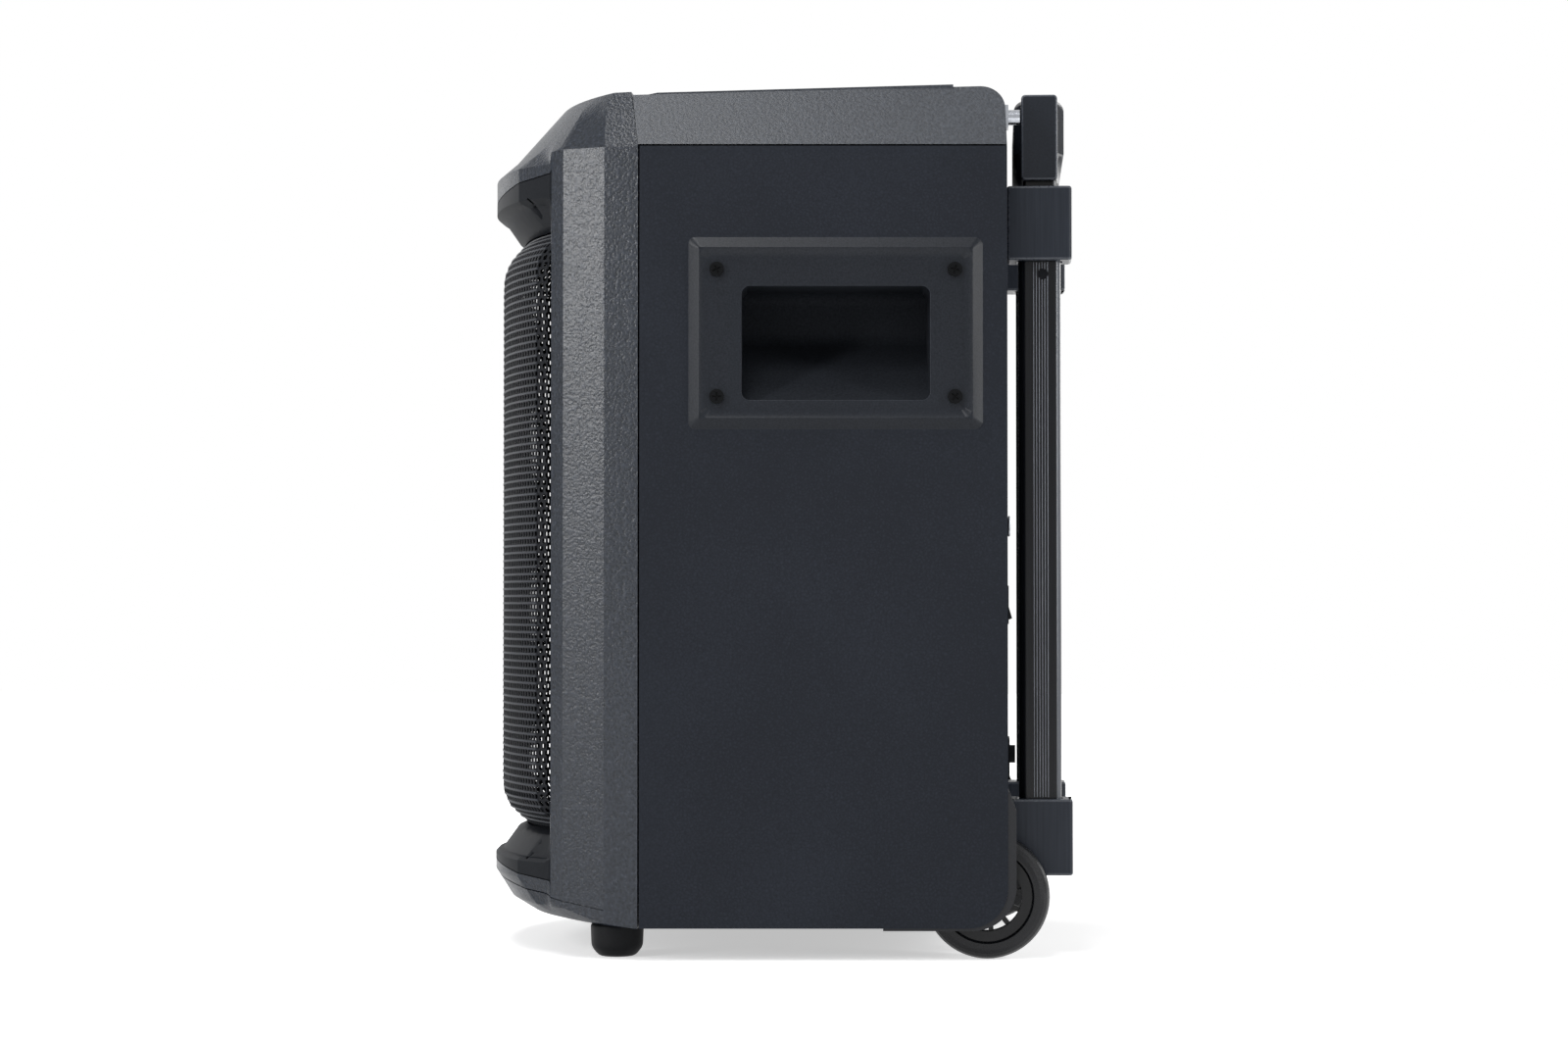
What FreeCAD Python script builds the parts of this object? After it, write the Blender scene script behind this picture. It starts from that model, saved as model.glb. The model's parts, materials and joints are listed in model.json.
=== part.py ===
import FreeCAD, Part
import math
import os

# Portable party speaker on two wheels, with a three-section trolley handle behind it.
# Millimetres. +Z is up, the grille faces -Y, and the origin is on the floor under the middle.

V = FreeCAD.Vector
UP = V(0, 0, 1)
ACROSS = V(1, 0, 0)
BACK = V(0, 1, 0)

# ---------------------------------------------------------------- driving dimensions

# Depths, front to back. The origin lies halfway along their sum.
nose_depth = 106.2            # front bumper to the cabinet's front seam
cabinet_depth = 221.6         # front seam to the rear panel's outer face
trolley_depth = 39.5          # rear panel to the back of the trolley brackets

# Cabinet
half_width_front = 165.0
side_taper_in = 13.5          # rear edge narrower than the front, each side
cabinet_bottom = 20.0         # floor clearance under the cabinet
cabinet_height = 469.6
board = 9.0                   # side, bottom and rear boards
baffle_board_thickness = 12.0
corner_radius = 24.0          # lower rear corner, seen from the side
seam_gap = 1.0                # shadow line between boards and mouldings
moulding_wall = 3.5
tongue_length = 10.0          # how far a moulding's tongue reaches inside the boards
overrun = 60.0                # how far cutting blocks run past what they cut

# Front frame
frame_front_facet_depth = 26.1
frame_side_facet_depth = 20.9
frame_side_facet_in = 5.0
frame_front_facet_in = 10.0
frame_lip_in = 9.0
frame_lip_depth = 8.4
frame_lip_wall = 4.0           # lip's wall beside the grille's opening
opening_rise = 51.0           # opening's lower edge above the boards' bottom
opening_drop = 41.0           # opening's upper edge below the boards' top
nose_radius = 262.0           # plan radius of the bumpers at their foremost line
nose_sweep = 130.0            # degrees of arc turned for the nose, past the frame's corners
crown_plan = ((25.0, 6.6), (29.0, 21.6), (54.0, 35.6), (55.0, 36.8))  # (in from the sides, ahead of the seam)
visor_hollow_in = 19.0        # hollow behind the visor, in from the opening's sides
visor_hollow_rise = 36.0      # hollow's floor above the visor's heel

# Visor, as (distance behind the foremost line, height over the boards' top)
crown_rise = 36.2
visor_top_back = 41.2
visor_brow = (11.2, 2.2)
visor_front_top = -7.5
visor_front_bottom = -27.6
visor_chamfer = (2.6, -29.8)
visor_lip = (5.9, -31.7)
visor_throat = (14.2, -43.7)
visor_heel = (18.0, -46.6)
visor_seam = -21.6            # frame to upper bumper, at the foremost line
visor_seam_slope = 0.21       # both seams tilt away towards the sides

# Chin, as (distance behind the foremost line, height over the boards' bottom)
chin_heel = (19.0, 55.3)
chin_shoulder = (14.4, 52.8)
chin_lip = (5.0, 39.7)
chin_chamfer = (2.0, 39.1)
chin_front_top = 37.0
chin_front_bottom = 27.0
chin_keel = (10.4, 10.6)
chin_bilge = (23.4, 2.6)
chin_sole_back = 34.0
chin_seam = 34.0              # frame to lower bumper
chin_seam_slope = -0.186
bumper_depth = 20.0           # bumpers' back, behind the foremost line
nose_seam_gap = 0.6
lip_gap = 0.4                 # bumpers clear of the frame's lips
seat_reach = 8.0              # bumpers' seats run this far into the opening
skirt_line = 25.0             # groove round the chin, at the foremost line
skirt_line_slope = -0.175
skirt_groove = (0.7, 1.2)     # its width and depth

# Grille
grille_sheet = 1.2
grille_back = 4.2             # grille face behind the bumper's foremost line
grille_slope = 22.0           # sheet's sloped ends, run back
grille_flat_rise = 77.0       # flat part's lower end above the boards' bottom
grille_flat_drop = 69.3       # and its upper end below the boards' top
grille_lower_knee = (4.2, 0.38)  # (back from the face, share of the sloped end's height)
grille_middle_knee = (3.4, 0.32)
grille_upper_knee = (17.0, 0.75)
grille_margin = 5.4           # sheet's bent edges, seen from the front
grille_margin_back = 7.4      # and how far they run back
grille_columns = 12
grille_rows = 12
grille_border = 12.0          # unpierced border of the sheet
grille_bar = 6.0              # metal left between openings

# Top cover and control panel
cover_edge_in = 25.0          # how far the top edges stand in from the boards
cover_drop = 1.7              # cover's front edge below the crown
cover_rise = 6.2              # front edge to rear edge
cover_seam_lean = 6.0         # the seam leans forward by this much
cover_rear_radius = 15.0
deck_rise = 1.4               # raised deck round the control panel
deck_in = 3.0                 # deck's sides in from the cover's top edges
deck_ahead = 13.0             # deck's ends beyond the panel
deck_behind = 7.0
deck_ramp = 8.0               # its sloped front end
cover_rear_lean = 1.6
panel_half_width = 100.0
panel_length = 168.0
panel_setback = 14.0          # panel's front edge behind the seam
panel_thickness = 3.0
panel_proud = 1.0
panel_ledge = 4.0
post_radius = 3.0
post_in = 16.0                # posts stand in from the panel's edges
board_in = 8.0                # main board stands in from the panel's edges
board_depth = 13.0            # main board below the panel's top face
circuit_board = 1.6

# Knobs and buttons on the control panel
volume_knob_radius = 17.0
small_knob_radius = 9.5
knob_height = 7.0
knob_spindle_radius = 3.0
knob_gap = 0.4
pot_radius = 8.0
pot_height = 6.0
pot_floor = 1.0
button_length = 18.0
button_width = 9.0
button_gap = 0.35
button_proud = 0.8
button_foot = 1.5             # foot's border, under the panel
button_foot_thickness = 1.4
button_pitch = 27.0
display_length = 64.0
display_width = 22.0
display_sheet = 1.2
display_row = -22.0           # rows are measured from the panel's middle
button_row = -58.0
knob_row = 28.0
small_knob_spread = 62.0

# Drivers
woofer_height = 192.0
woofer_flange_radius = 104.0
woofer_hole_radius = 94.0
woofer_flange = 4.0
woofer_basket_depth = 62.0
basket_sheet = 2.5
basket_floor_radius = 46.0
cone_outer_radius = 80.0
cone_depth = 34.0
cone_paper = 1.4
coil_radius = 19.0
coil_wall = 0.8
cap_height = 9.0
roll_height = 6.5
magnet_radius = 56.0
magnet_thickness = 22.0
magnet_gap = 2.0
light_ring_width = 8.0
light_ring_height = 6.0
tweeter_drop = 103.6          # below the boards' top
tweeter_spacing = 150.0
tweeter_flange_radius = 42.0
tweeter_mouth_radius = 33.0
tweeter_throat_radius = 12.0
tweeter_horn_depth = 28.0
tweeter_driver_radius = 30.0
tweeter_driver_length = 26.0
driver_screw_radius = 2.0
driver_screw_head_radius = 3.6
driver_screw_head = 2.2
driver_screw_length = 14.0
port_radius = 27.0
port_wall = 3.0
port_flange = 9.0
port_length = 110.0
port_height = 352.0

# Pocket handles in the side boards
handle_length = 177.0
handle_height = 115.6
handle_corner = 4.0
handle_outer_bevel = 6.4
handle_rim = 0.3
handle_inner_bevel = 5.0
handle_proud = 4.0
handle_plate_level = 1.4
handle_centre_back = 118.7    # behind the seam
handle_drop = 112.9           # handle's middle below the boards' top
pocket_length = 113.4
pocket_height = 68.8
pocket_corner = 5.2
pocket_depth = 52.0
pocket_sill_depth = 5.0
pocket_roof_run = 30.0
pocket_wall = 2.5
pocket_fit = 0.5
pocket_drop = 6.0             # pocket's middle below the plate's middle
handle_screw_in = 17.0
handle_screw_rise = 38.2

# Screws that hold handles and brackets
screw_radius = 2.0
screw_head_radius = 4.4
screw_head = 2.6
screw_length = 14.0
cross_depth = 1.4
cross_width = 1.1

# Rear fittings
jack_plate_width = 150.0
jack_plate_bottom = 238.0
jack_plate_height = 54.0
jack_plate_thickness = 2.5
jack_spacing = 36.0
mic_bore_radius = 3.2
mic_barrel_radius = 8.0
mic_depth = 30.0
aux_bore_radius = 1.8
aux_barrel_radius = 4.5
aux_depth = 16.0
usb_width = 12.6
usb_height = 5.2
usb_shell = 0.8
usb_depth = 14.0
inlet_bottom = 104.5
inlet_plate_height = 24.0
inlet_plate_width = 46.0
inlet_plate = 1.6
inlet_width = 13.8
inlet_height = 8.0
inlet_collar = 1.6
inlet_proud = 5.2
inlet_depth = 14.0
inlet_pin_radius = 1.2
inlet_pin_spacing = 8.6
inlet_pin_length = 7.0
rocker_width = 13.0
rocker_height = 20.0
rocker_bezel_border = 2.3
rocker_bezel_proud = 1.2
rocker_bezel_depth = 14.0
rocker_bezel_wall = 1.2
rocker_centre_height = 213.6
rocker_tilt = 8.0
rocker_gap = 0.5
rocker_thickness = 4.0
rocker_pin_radius = 1.5
antenna_in = 39.5             # in from the cabinet's rear edge
antenna_rise = 22.4           # above the boards' top
antenna_radius = 4.76
antenna_length = 7.0
antenna_bore_radius = 0.6
antenna_plate = 2.6
antenna_plate_size = 14.0

# Trolley handle
trolley_in = 49.0             # tubes in from the cabinet's rear edge
tube_centre_back = 19.8       # tube centre behind the rear panel
outer_tube_depth = 26.0
outer_tube_width = 18.0
outer_tube_corner = 5.0
tube_wall = 1.3
tube_gap = 0.35               # each side, between nested tubes
tube_top_step = 3.0
bracket_width = 32.0
bracket_wall_under = 7.0
lower_bracket_rise = 29.2     # above the boards' bottom
lower_bracket_height = 46.3
upper_bracket_drop = 65.6     # bracket's lower end below the boards' top
upper_bracket_height = 45.4
bracket_corner = 2.5
grip_lift = 3.9               # grip above the upper brackets
grip_block_width = 25.0
grip_block_depth = 22.1
grip_block_height = 52.4
grip_block_corner = 2.5
grip_neck_in = 18.5           # bar's ends in from the tubes
grip_bar_depth = 31.0
grip_bar_height = 53.6
grip_bar_corner = 7.0
grip_bar_taper = 3.2          # bar's lower corners drawn in by this
grip_bar_shoulder = 20.0      # and the taper's start above its underside
grip_socket_depth = 12.0
release_length = 44.0
release_width = 13.0
release_depth = 6.0           # grip's top face to the pocket's shoulder
release_foot = 1.5
release_foot_thickness = 3.0
release_proud = 1.0
release_travel = 4.0
release_gap = 0.4

# Wheels, axles and feet
wheel_radius = 38.0
wheel_width = 17.0
housing_side_gap = 0.18       # housing to the side board
wheel_inset = 12.8            # axle in front of the rear panel's outer face
rim_radius = 27.2
rim_ring = 6.0
hub_radius = 9.0
spoke_count = 12
spoke_width = 3.0
web_half_width = 3.0
axle_radius = 4.0
axle_running = 0.05
housing_wall = 2.6
housing_gap = 1.2             # wheel to housing cheek
housing_clear = 4.0           # around the tread
housing_lip = 5.0             # proud of the rear panel
housing_sole = 1.5            # proud of the bottom board
housing_reach = 62.0          # lip's front end ahead of the axle
housing_lip_top = 102.0
housing_lip_chamfer = 14.0
foot_in = 40.0                # foot's axis in from the cabinet's front width
foot_back = 89.9              # behind the foremost line
foot_top_radius = 16.3
foot_low_radius = 15.7
foot_sole_radius = 11.0
foot_chamfer = 5.7

# Inside
battery_length = 150.0
battery_width = 66.0
battery_height = 42.0
battery_back = 80.0           # battery's front face behind the seam
supply_width = 110.0
supply_height = 54.0
supply_depth = 34.0
supply_bottom = 140.0

# ---------------------------------------------------------------- derived places

total_depth = nose_depth + cabinet_depth + trolley_depth
nose_y = -total_depth / 2
seam_y = nose_y + nose_depth
rear_y = seam_y + cabinet_depth
half_width_rear = half_width_front - side_taper_in
cabinet_top = cabinet_bottom + cabinet_height
inner_rear_y = rear_y - board
taper = math.atan(side_taper_in / cabinet_depth)
nose_axis_y = nose_y + nose_radius
baffle_front_y = seam_y - baffle_board_thickness - seam_gap - 2.0
baffle_rear_y = baffle_front_y + baffle_board_thickness
axle_y = rear_y - wheel_inset
axle_z = wheel_radius
tube_y = rear_y + tube_centre_back
cover_tilt = math.atan(cover_rise / cabinet_depth)
crown_top = cabinet_top + crown_rise
cover_front_height = crown_top - cover_drop
lip_x = half_width_front - frame_side_facet_in - frame_front_facet_in - frame_lip_in
opening_half_width = lip_x - frame_lip_wall
opening_bottom = cabinet_bottom + opening_rise
opening_top = cabinet_top - opening_drop
tweeter_height = cabinet_top - tweeter_drop
handle_centre_height = cabinet_top - handle_drop
antenna_x = half_width_rear - antenna_in
antenna_height = cabinet_top + antenna_rise
lower_bracket_bottom = cabinet_bottom + lower_bracket_rise
upper_bracket_bottom = cabinet_top - upper_bracket_drop
foot_x = half_width_front - foot_in
trolley_half_spacing = half_width_rear - trolley_in
grip_bar_half_length = trolley_half_spacing - grip_neck_in
bracket_inner_x = trolley_half_spacing - bracket_width / 2
bracket_outer_x = trolley_half_spacing + bracket_width / 2
upper_bracket_top = upper_bracket_bottom + upper_bracket_height
lower_bracket_top = lower_bracket_bottom + lower_bracket_height
grip_bottom = upper_bracket_top + grip_lift


def half_width(y):
    """Half the cabinet's outer width at a depth."""
    return half_width_front - (y - seam_y) * math.tan(taper)


def inner_half_width(y):
    """Half the width between the side boards at a depth."""
    return half_width(y) - board / math.cos(taper)


cheek_outer_x = min(inner_half_width(rear_y), inner_half_width(axle_y - housing_reach)) - housing_side_gap
wheel_x = cheek_outer_x - housing_wall - housing_gap - wheel_width / 2
cheek_inner_x = wheel_x - wheel_width / 2 - housing_gap - housing_wall


def cover_z(y):
    """Height of the top cover's upper face at a depth."""
    return cover_front_height + (y - seam_y) * math.tan(cover_tilt)


# ---------------------------------------------------------------- shape helpers

def box(x0, x1, y0, y1, z0, z1):
    """Block between two corners."""
    return Part.makeBox(x1 - x0, y1 - y0, z1 - z0, V(x0, y0, z0))


def cylinder(foot, axis, radius, length):
    """Round bar from foot along axis."""
    return Part.makeCylinder(radius, length, foot, axis)


def tube(foot, axis, outer, inner, length):
    """Round tube from foot along axis."""
    return cylinder(foot, axis, outer, length).cut(cylinder(foot, axis, inner, length))


def rounded_wire(corners, place):
    """Closed flat wire; corners are (u, v, radius) and place puts (u, v) in space."""
    count = len(corners)
    runs = []
    for index, (u, v, radius) in enumerate(corners):
        here = V(u, v, 0)
        before = V(corners[index - 1][0], corners[index - 1][1], 0)
        after = V(corners[(index + 1) % count][0], corners[(index + 1) % count][1], 0)
        if radius == 0:
            runs.append((here, None, here))
            continue
        back = (before - here).normalize()
        ahead = (after - here).normalize()
        half = back.getAngle(ahead) / 2
        inward = (back + ahead).normalize()
        reach = radius / math.tan(half)
        centre = here + inward * (radius / math.sin(half))
        runs.append((here + back * reach, centre - inward * radius, here + ahead * reach))
    edges = []
    for index, (start, middle, end) in enumerate(runs):
        last = runs[index - 1][2]
        if (start - last).Length > 1e-6:
            edges.append(Part.makeLine(place(last.x, last.y), place(start.x, start.y)))
        if middle is not None:
            arc = Part.Arc(place(start.x, start.y), place(middle.x, middle.y), place(end.x, end.y))
            edges.append(arc.toShape())
    return Part.Wire(edges)


def side_prism(corners, x0, x1):
    """Outline in side view, as (y, z, radius), carried from x0 to x1."""
    wire = rounded_wire(corners, lambda y, z: V(x0, y, z))
    return Part.Face(wire).extrude(V(x1 - x0, 0, 0))


def plan_prism(corners, z0, z1):
    """Outline in plan, as (x, y, radius), carried from z0 to z1."""
    wire = rounded_wire(corners, lambda x, y: V(x, y, z0))
    return Part.Face(wire).extrude(V(0, 0, z1 - z0))


def front_prism(corners, y0, y1):
    """Outline in front view, as (x, z, radius), carried from y0 to y1."""
    wire = rounded_wire(corners, lambda x, z: V(x, y0, z))
    return Part.Face(wire).extrude(V(0, y1 - y0, 0))


def rectangle(u0, u1, v0, v1, radius=0.0):
    """Corners of a rectangle for the prisms above."""
    return [(u0, v0, radius), (u1, v0, radius), (u1, v1, radius), (u0, v1, radius)]


def turned(profile, centre, axis, radial):
    """Solid of revolution; profile is (radius, along) from centre."""
    points = [centre + radial * r + axis * a for r, a in profile]
    face = Part.Face(Part.makePolygon(points + points[:1]))
    return face.revolve(centre, axis, 360)


def fuse_all(shapes):
    """One shape from several that touch or overlap."""
    whole = shapes[0]
    for shape in shapes[1:]:
        whole = whole.fuse(shape)
    return whole.removeSplitter()


def mirrored(shape):
    """The same shape on the other side of the middle."""
    return shape.mirror(V(0, 0, 0), ACROSS)


def both_sides(shape):
    """A shape and its mirror image, kept as separate solids."""
    return Part.makeCompound([shape, mirrored(shape)])


def symmetric_plan(right_side):
    """Close a right-hand plan outline with its mirror image."""
    left_side = [(-x, y, radius) for x, y, radius in reversed(right_side)]
    return right_side + left_side


# ---------------------------------------------------------------- cabinet boards

def cabinet_outline(grow_rear=0.0, grow_bottom=0.0):
    """The cabinet in side view, with its rounded lower rear corner."""
    front = seam_y + seam_gap
    rear = rear_y + grow_rear
    bottom = cabinet_bottom - grow_bottom
    return [
        (front, bottom, 0), (rear, bottom, corner_radius + grow_rear / 2),
        (rear, cabinet_top, 0), (front, cabinet_top, 0),
    ]


def inner_plan(front, rear, gap=0.0):
    """Plan outline between the side boards, from front to rear."""
    return symmetric_plan([
        (inner_half_width(front) - gap, front, 0),
        (inner_half_width(rear) - gap, rear, 0),
    ])


def on_side_board(shape):
    """Put a shape drawn about the origin, +X outward, on the right-hand board's face."""
    handle_y = seam_y + handle_centre_back
    placed = shape.copy()
    placed.rotate(V(0, 0, 0), UP, math.degrees(taper))
    placed.translate(V(half_width(handle_y), handle_y, handle_centre_height))
    return placed


def pocket_mouth(grow, w0, w1):
    """Rounded block over the pocket's mouth, made larger by grow on each side."""
    half_length = pocket_length / 2 + grow
    half_height = pocket_height / 2 + grow
    corners = rectangle(-half_length, half_length, -half_height - pocket_drop,
                        half_height - pocket_drop, pocket_corner + grow)
    return side_prism(corners, w0, w1)


def side_board():
    """Right-hand board, cut for its pocket handle."""
    front = seam_y + seam_gap
    plan = [
        (half_width(front), front, 0), (half_width(rear_y), rear_y, 0),
        (inner_half_width(rear_y), rear_y, 0), (inner_half_width(front), front, 0),
    ]
    slab = plan_prism(plan, cabinet_bottom, cabinet_top)
    slab = slab.common(side_prism(cabinet_outline(), 0, half_width_front))
    slab = slab.cut(on_side_board(pocket_mouth(pocket_wall + pocket_fit, -board * 2, board)))
    for place in handle_screw_places():
        slab = slab.cut(on_side_board(cylinder(place - ACROSS * board * 2, ACROSS, screw_radius, board * 3)))
    return slab


def housing_cut():
    """Space that each wheel housing takes from the bottom and rear boards."""
    reach = wheel_radius + housing_clear + housing_wall
    return cylinder(V(cheek_inner_x, axle_y, axle_z), ACROSS, reach, board * 4)


def bottom_board():
    """Bottom board between the side boards, notched for the wheel housings."""
    front = seam_y + seam_gap
    rear = rear_y - corner_radius
    slab = plan_prism(inner_plan(front, rear), cabinet_bottom, cabinet_bottom + board)
    return slab.cut(both_sides(housing_cut()))


def rear_board():
    """Rear board with its bent foot, cut for the port, jacks, inlet and switch."""
    inside = [
        (seam_y, cabinet_bottom + board, 0), (inner_rear_y, cabinet_bottom + board, corner_radius - board),
        (inner_rear_y, cabinet_top + board, 0), (seam_y, cabinet_top + board, 0),
    ]
    reach = half_width_front
    shell = side_prism(cabinet_outline(), -reach, reach).cut(side_prism(inside, -reach, reach))
    start = rear_y - corner_radius
    panel = shell.common(plan_prism(inner_plan(start, rear_y), cabinet_bottom, cabinet_top))
    port = V(0, inner_rear_y, port_height)
    cuts = [
        both_sides(housing_cut()),
        cylinder(port, BACK, port_radius + port_wall, board),
        cylinder(V(0, rear_y - port_wall, port_height), BACK, port_radius + port_flange, port_wall),
        jack_plate_blank(0.0, rear_y - jack_plate_thickness, rear_y),
        jack_plate_blank(-6.0, inner_rear_y, rear_y),
        inlet_body(0.0, inner_rear_y, rear_y),
        rocker_body(0.0, inner_rear_y, rear_y),
    ]
    for place in bracket_screw_places():
        cuts.append(both_sides(cylinder(place, BACK, screw_radius, board)))
    for cut in cuts:
        panel = panel.cut(cut)
    return panel


def baffle():
    """Front board that carries the drivers, seated on the frame's inner step."""
    half = baffle_half_width()
    slab = box(-half, half, baffle_front_y, baffle_rear_y,
               cabinet_bottom + board, cabinet_top - board)
    woofer = V(0, baffle_front_y, woofer_height)
    slab = slab.cut(cylinder(woofer, BACK, woofer_hole_radius, baffle_board_thickness))
    for side in (-1, 1):
        centre = V(side * tweeter_spacing / 2, baffle_front_y, tweeter_height)
        slab = slab.cut(cylinder(centre, BACK, tweeter_mouth_radius + 1.5, baffle_board_thickness))
    for foot in driver_screw_places():
        slab = slab.cut(cylinder(foot, BACK, driver_screw_radius, baffle_board_thickness + 20))
    return slab


def baffle_half_width():
    """Half width of the baffle, just inside the frame's walls."""
    return half_width_front - frame_side_facet_in - moulding_wall


# ---------------------------------------------------------------- front frame and bumpers

def frame_plan(inset=0.0):
    """Right-hand plan outline of the frame's facets, from the seam to the lip."""
    y1 = seam_y - frame_side_facet_depth
    y2 = y1 - frame_front_facet_depth
    x1 = half_width_front - frame_side_facet_in
    x2 = x1 - frame_front_facet_in
    return [
        (half_width_front - inset, seam_y, 0),
        (x1 - inset, y1, 0),
        (x2 - inset, y2, 0),
        (lip_x - inset, y2 - frame_lip_depth, 0),
    ]


def frame_blank(inset=0.0):
    """Frame's faceted outside: upright below, leaning in above the boards' top."""
    front = nose_y - 5
    low = frame_plan(inset)
    low.append((low[-1][0], front, 0))
    upright = plan_prism(symmetric_plan(low), cabinet_bottom, cabinet_top)
    high = [(half_width_front - x_in - inset, seam_y - ahead, 0) for x_in, ahead in crown_plan]
    high.append((high[-1][0], front, 0))
    wires = []
    for outline, z in ((low, cabinet_top), (high, crown_top - inset)):
        corners = symmetric_plan(outline)
        wires.append(Part.makePolygon([V(x, y, z) for x, y, _ in corners + corners[:1]]))
    crown = Part.makeLoft(wires, True, True)
    return upright.fuse(crown)


def over_top(points):
    """Raise (distance, height over the boards' top) points to heights above the floor."""
    return [(back, cabinet_top + rise) for back, rise in points]


def over_bottom(points):
    """Raise (distance, height over the boards' bottom) points to heights above the floor."""
    return [(back, cabinet_bottom + rise) for back, rise in points]


def nose_turn(outline):
    """Turn a (distance behind the foremost line, height) outline about the nose's axis."""
    points = [V(0, nose_y + back, z) for back, z in outline]
    face = Part.Face(Part.makePolygon(points + points[:1]))
    solid = face.revolve(V(0, nose_axis_y, 0), UP, nose_sweep)
    solid.rotate(V(0, nose_axis_y, 0), UP, -nose_sweep / 2)
    return solid


def nose_outline(inset=0.0):
    """Side profile of the whole nose: chin, lip line and visor."""
    lip = lip_back_from_nose()
    deep = nose_depth + overrun
    chin = over_bottom([
        (deep, inset), (chin_sole_back + inset, inset),
        (chin_bilge[0] + inset, chin_bilge[1] + inset), (chin_keel[0] + inset, chin_keel[1] + inset),
        (inset, chin_front_bottom + inset), (inset, chin_front_top), chin_lip, (lip, chin_heel[1]),
    ])
    visor = over_top([
        (lip, visor_heel[1]), visor_lip, (inset, visor_front_bottom), (inset, visor_front_top - inset),
        (visor_brow[0] + inset, visor_brow[1] - inset), (visor_top_back + inset, crown_rise - inset),
        (deep, crown_rise - inset),
    ])
    return chin + visor


def lip_back_from_nose():
    """Frame lip's distance behind the foremost line, on the nose's own arc."""
    lip_y = frame_plan()[-1][1]
    return nose_radius - math.hypot(lip_x, nose_axis_y - lip_y)


def seam_slab(height, slope, thickness):
    """Thin tilted slab along a bumper's seam; thickness upward from the seam."""
    run = nose_depth
    corners = [
        (nose_y - 10, height - 10 * slope, 0),
        (nose_y + run, height + run * slope, 0),
        (nose_y + run, height + run * slope + thickness, 0),
        (nose_y - 10, height - 10 * slope + thickness, 0),
    ]
    return side_prism(corners, -half_width_front, half_width_front)


def between_lips(body, half_width_there):
    """The part of a turned piece between two planes either side of the middle."""
    span = half_width_there
    return body.common(box(-span, span, nose_y - overrun, seam_y, 0, crown_top + overrun))


def bumper(profile, seam):
    """Turned bumper between the frame's lips, thinner where it passes over them."""
    piece = between_lips(nose_turn(profile), lip_x - lip_gap).cut(seam)
    core = between_lips(piece, opening_half_width)
    ahead = lip_back_from_nose() - lip_gap
    front = nose_turn([(-1, 0), (ahead, 0), (ahead, crown_top), (-1, crown_top)])
    return fuse_all([core, piece.common(front)])


def upper_bumper():
    """Smooth visor underside, hung under the frame's brow."""
    above = visor_seam + nose_depth * visor_seam_slope
    profile = over_top([
        (0, above), (0, visor_front_bottom), visor_chamfer, visor_lip,
        visor_throat, visor_heel, (bumper_depth, visor_heel[1]), (bumper_depth, above),
    ])
    seam = seam_slab(cabinet_top + visor_seam - nose_seam_gap, visor_seam_slope, nose_depth)
    return bumper(profile, seam)


def lower_bumper():
    """Smooth chin piece, set on the frame's sill."""
    below = chin_seam + nose_depth * chin_seam_slope
    profile = over_bottom([
        (0, below), (0, chin_front_top), chin_chamfer, chin_lip,
        chin_shoulder, (bumper_depth, chin_heel[1]), (bumper_depth, below),
    ])
    seam = seam_slab(cabinet_bottom + chin_seam + nose_seam_gap, chin_seam_slope, -nose_depth)
    return bumper(profile, seam)


def bumper_seats():
    """Room in the frame for both bumpers: down to their backs, and ahead of the lips."""
    high = cabinet_top + visor_seam + nose_depth * visor_seam_slope
    low = cabinet_bottom + chin_seam + nose_depth * chin_seam_slope
    over = seam_slab(cabinet_top + visor_seam, visor_seam_slope, nose_depth)
    under = seam_slab(cabinet_bottom + chin_seam, chin_seam_slope, -nose_depth)
    seats = []
    for depth, half in ((bumper_depth, opening_half_width), (lip_back_from_nose(), half_width_front)):
        ring = between_lips(nose_turn([(-6, low), (depth, low), (depth, high), (-6, high)]), half)
        ring = ring.cut(over).cut(under)
        if depth == bumper_depth:
            ring = ring.cut(box(-half_width_front, half_width_front, nose_y - overrun, seam_y,
                                opening_bottom + seat_reach, opening_top - seat_reach))
        seats.append(ring)
    return seats


def front_frame():
    """Faceted front moulding round the grille, hollow behind its visor and chin."""
    body = frame_blank().common(nose_turn(nose_outline()))
    hollow = frame_blank(moulding_wall).common(nose_turn(nose_outline(moulding_wall)))
    step = baffle_front_y
    reach = half_width_front
    behind = hollow.common(box(-reach, reach, step, seam_y + 1, 0, crown_top))
    body = body.cut(behind)
    hollow_floor = cabinet_top + visor_heel[1] + visor_hollow_rise
    span = opening_half_width - visor_hollow_in
    visor_hollow = hollow.common(box(-span, span, nose_y, step, hollow_floor, crown_top))
    body = body.cut(visor_hollow)
    opening = front_prism(
        rectangle(-opening_half_width, opening_half_width, opening_bottom, opening_top), nose_y - 6, step)
    body = body.cut(opening)
    for seat in bumper_seats():
        body = body.cut(seat)
    body = body.cut(skirt_line_groove())
    return fuse_all([body, frame_tongue()])


def skirt_line_groove():
    """Fine groove round the chin, under the lower bumper's seam."""
    width, depth = skirt_groove
    slab = seam_slab(cabinet_bottom + skirt_line, skirt_line_slope, width)
    rear = seam_y - frame_side_facet_depth
    slab = slab.common(box(-half_width_front, half_width_front, nose_y - overrun, rear, 0, opening_bottom))
    inside = frame_blank(depth).common(nose_turn(nose_outline(depth)))
    return slab.cut(inside)


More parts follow.
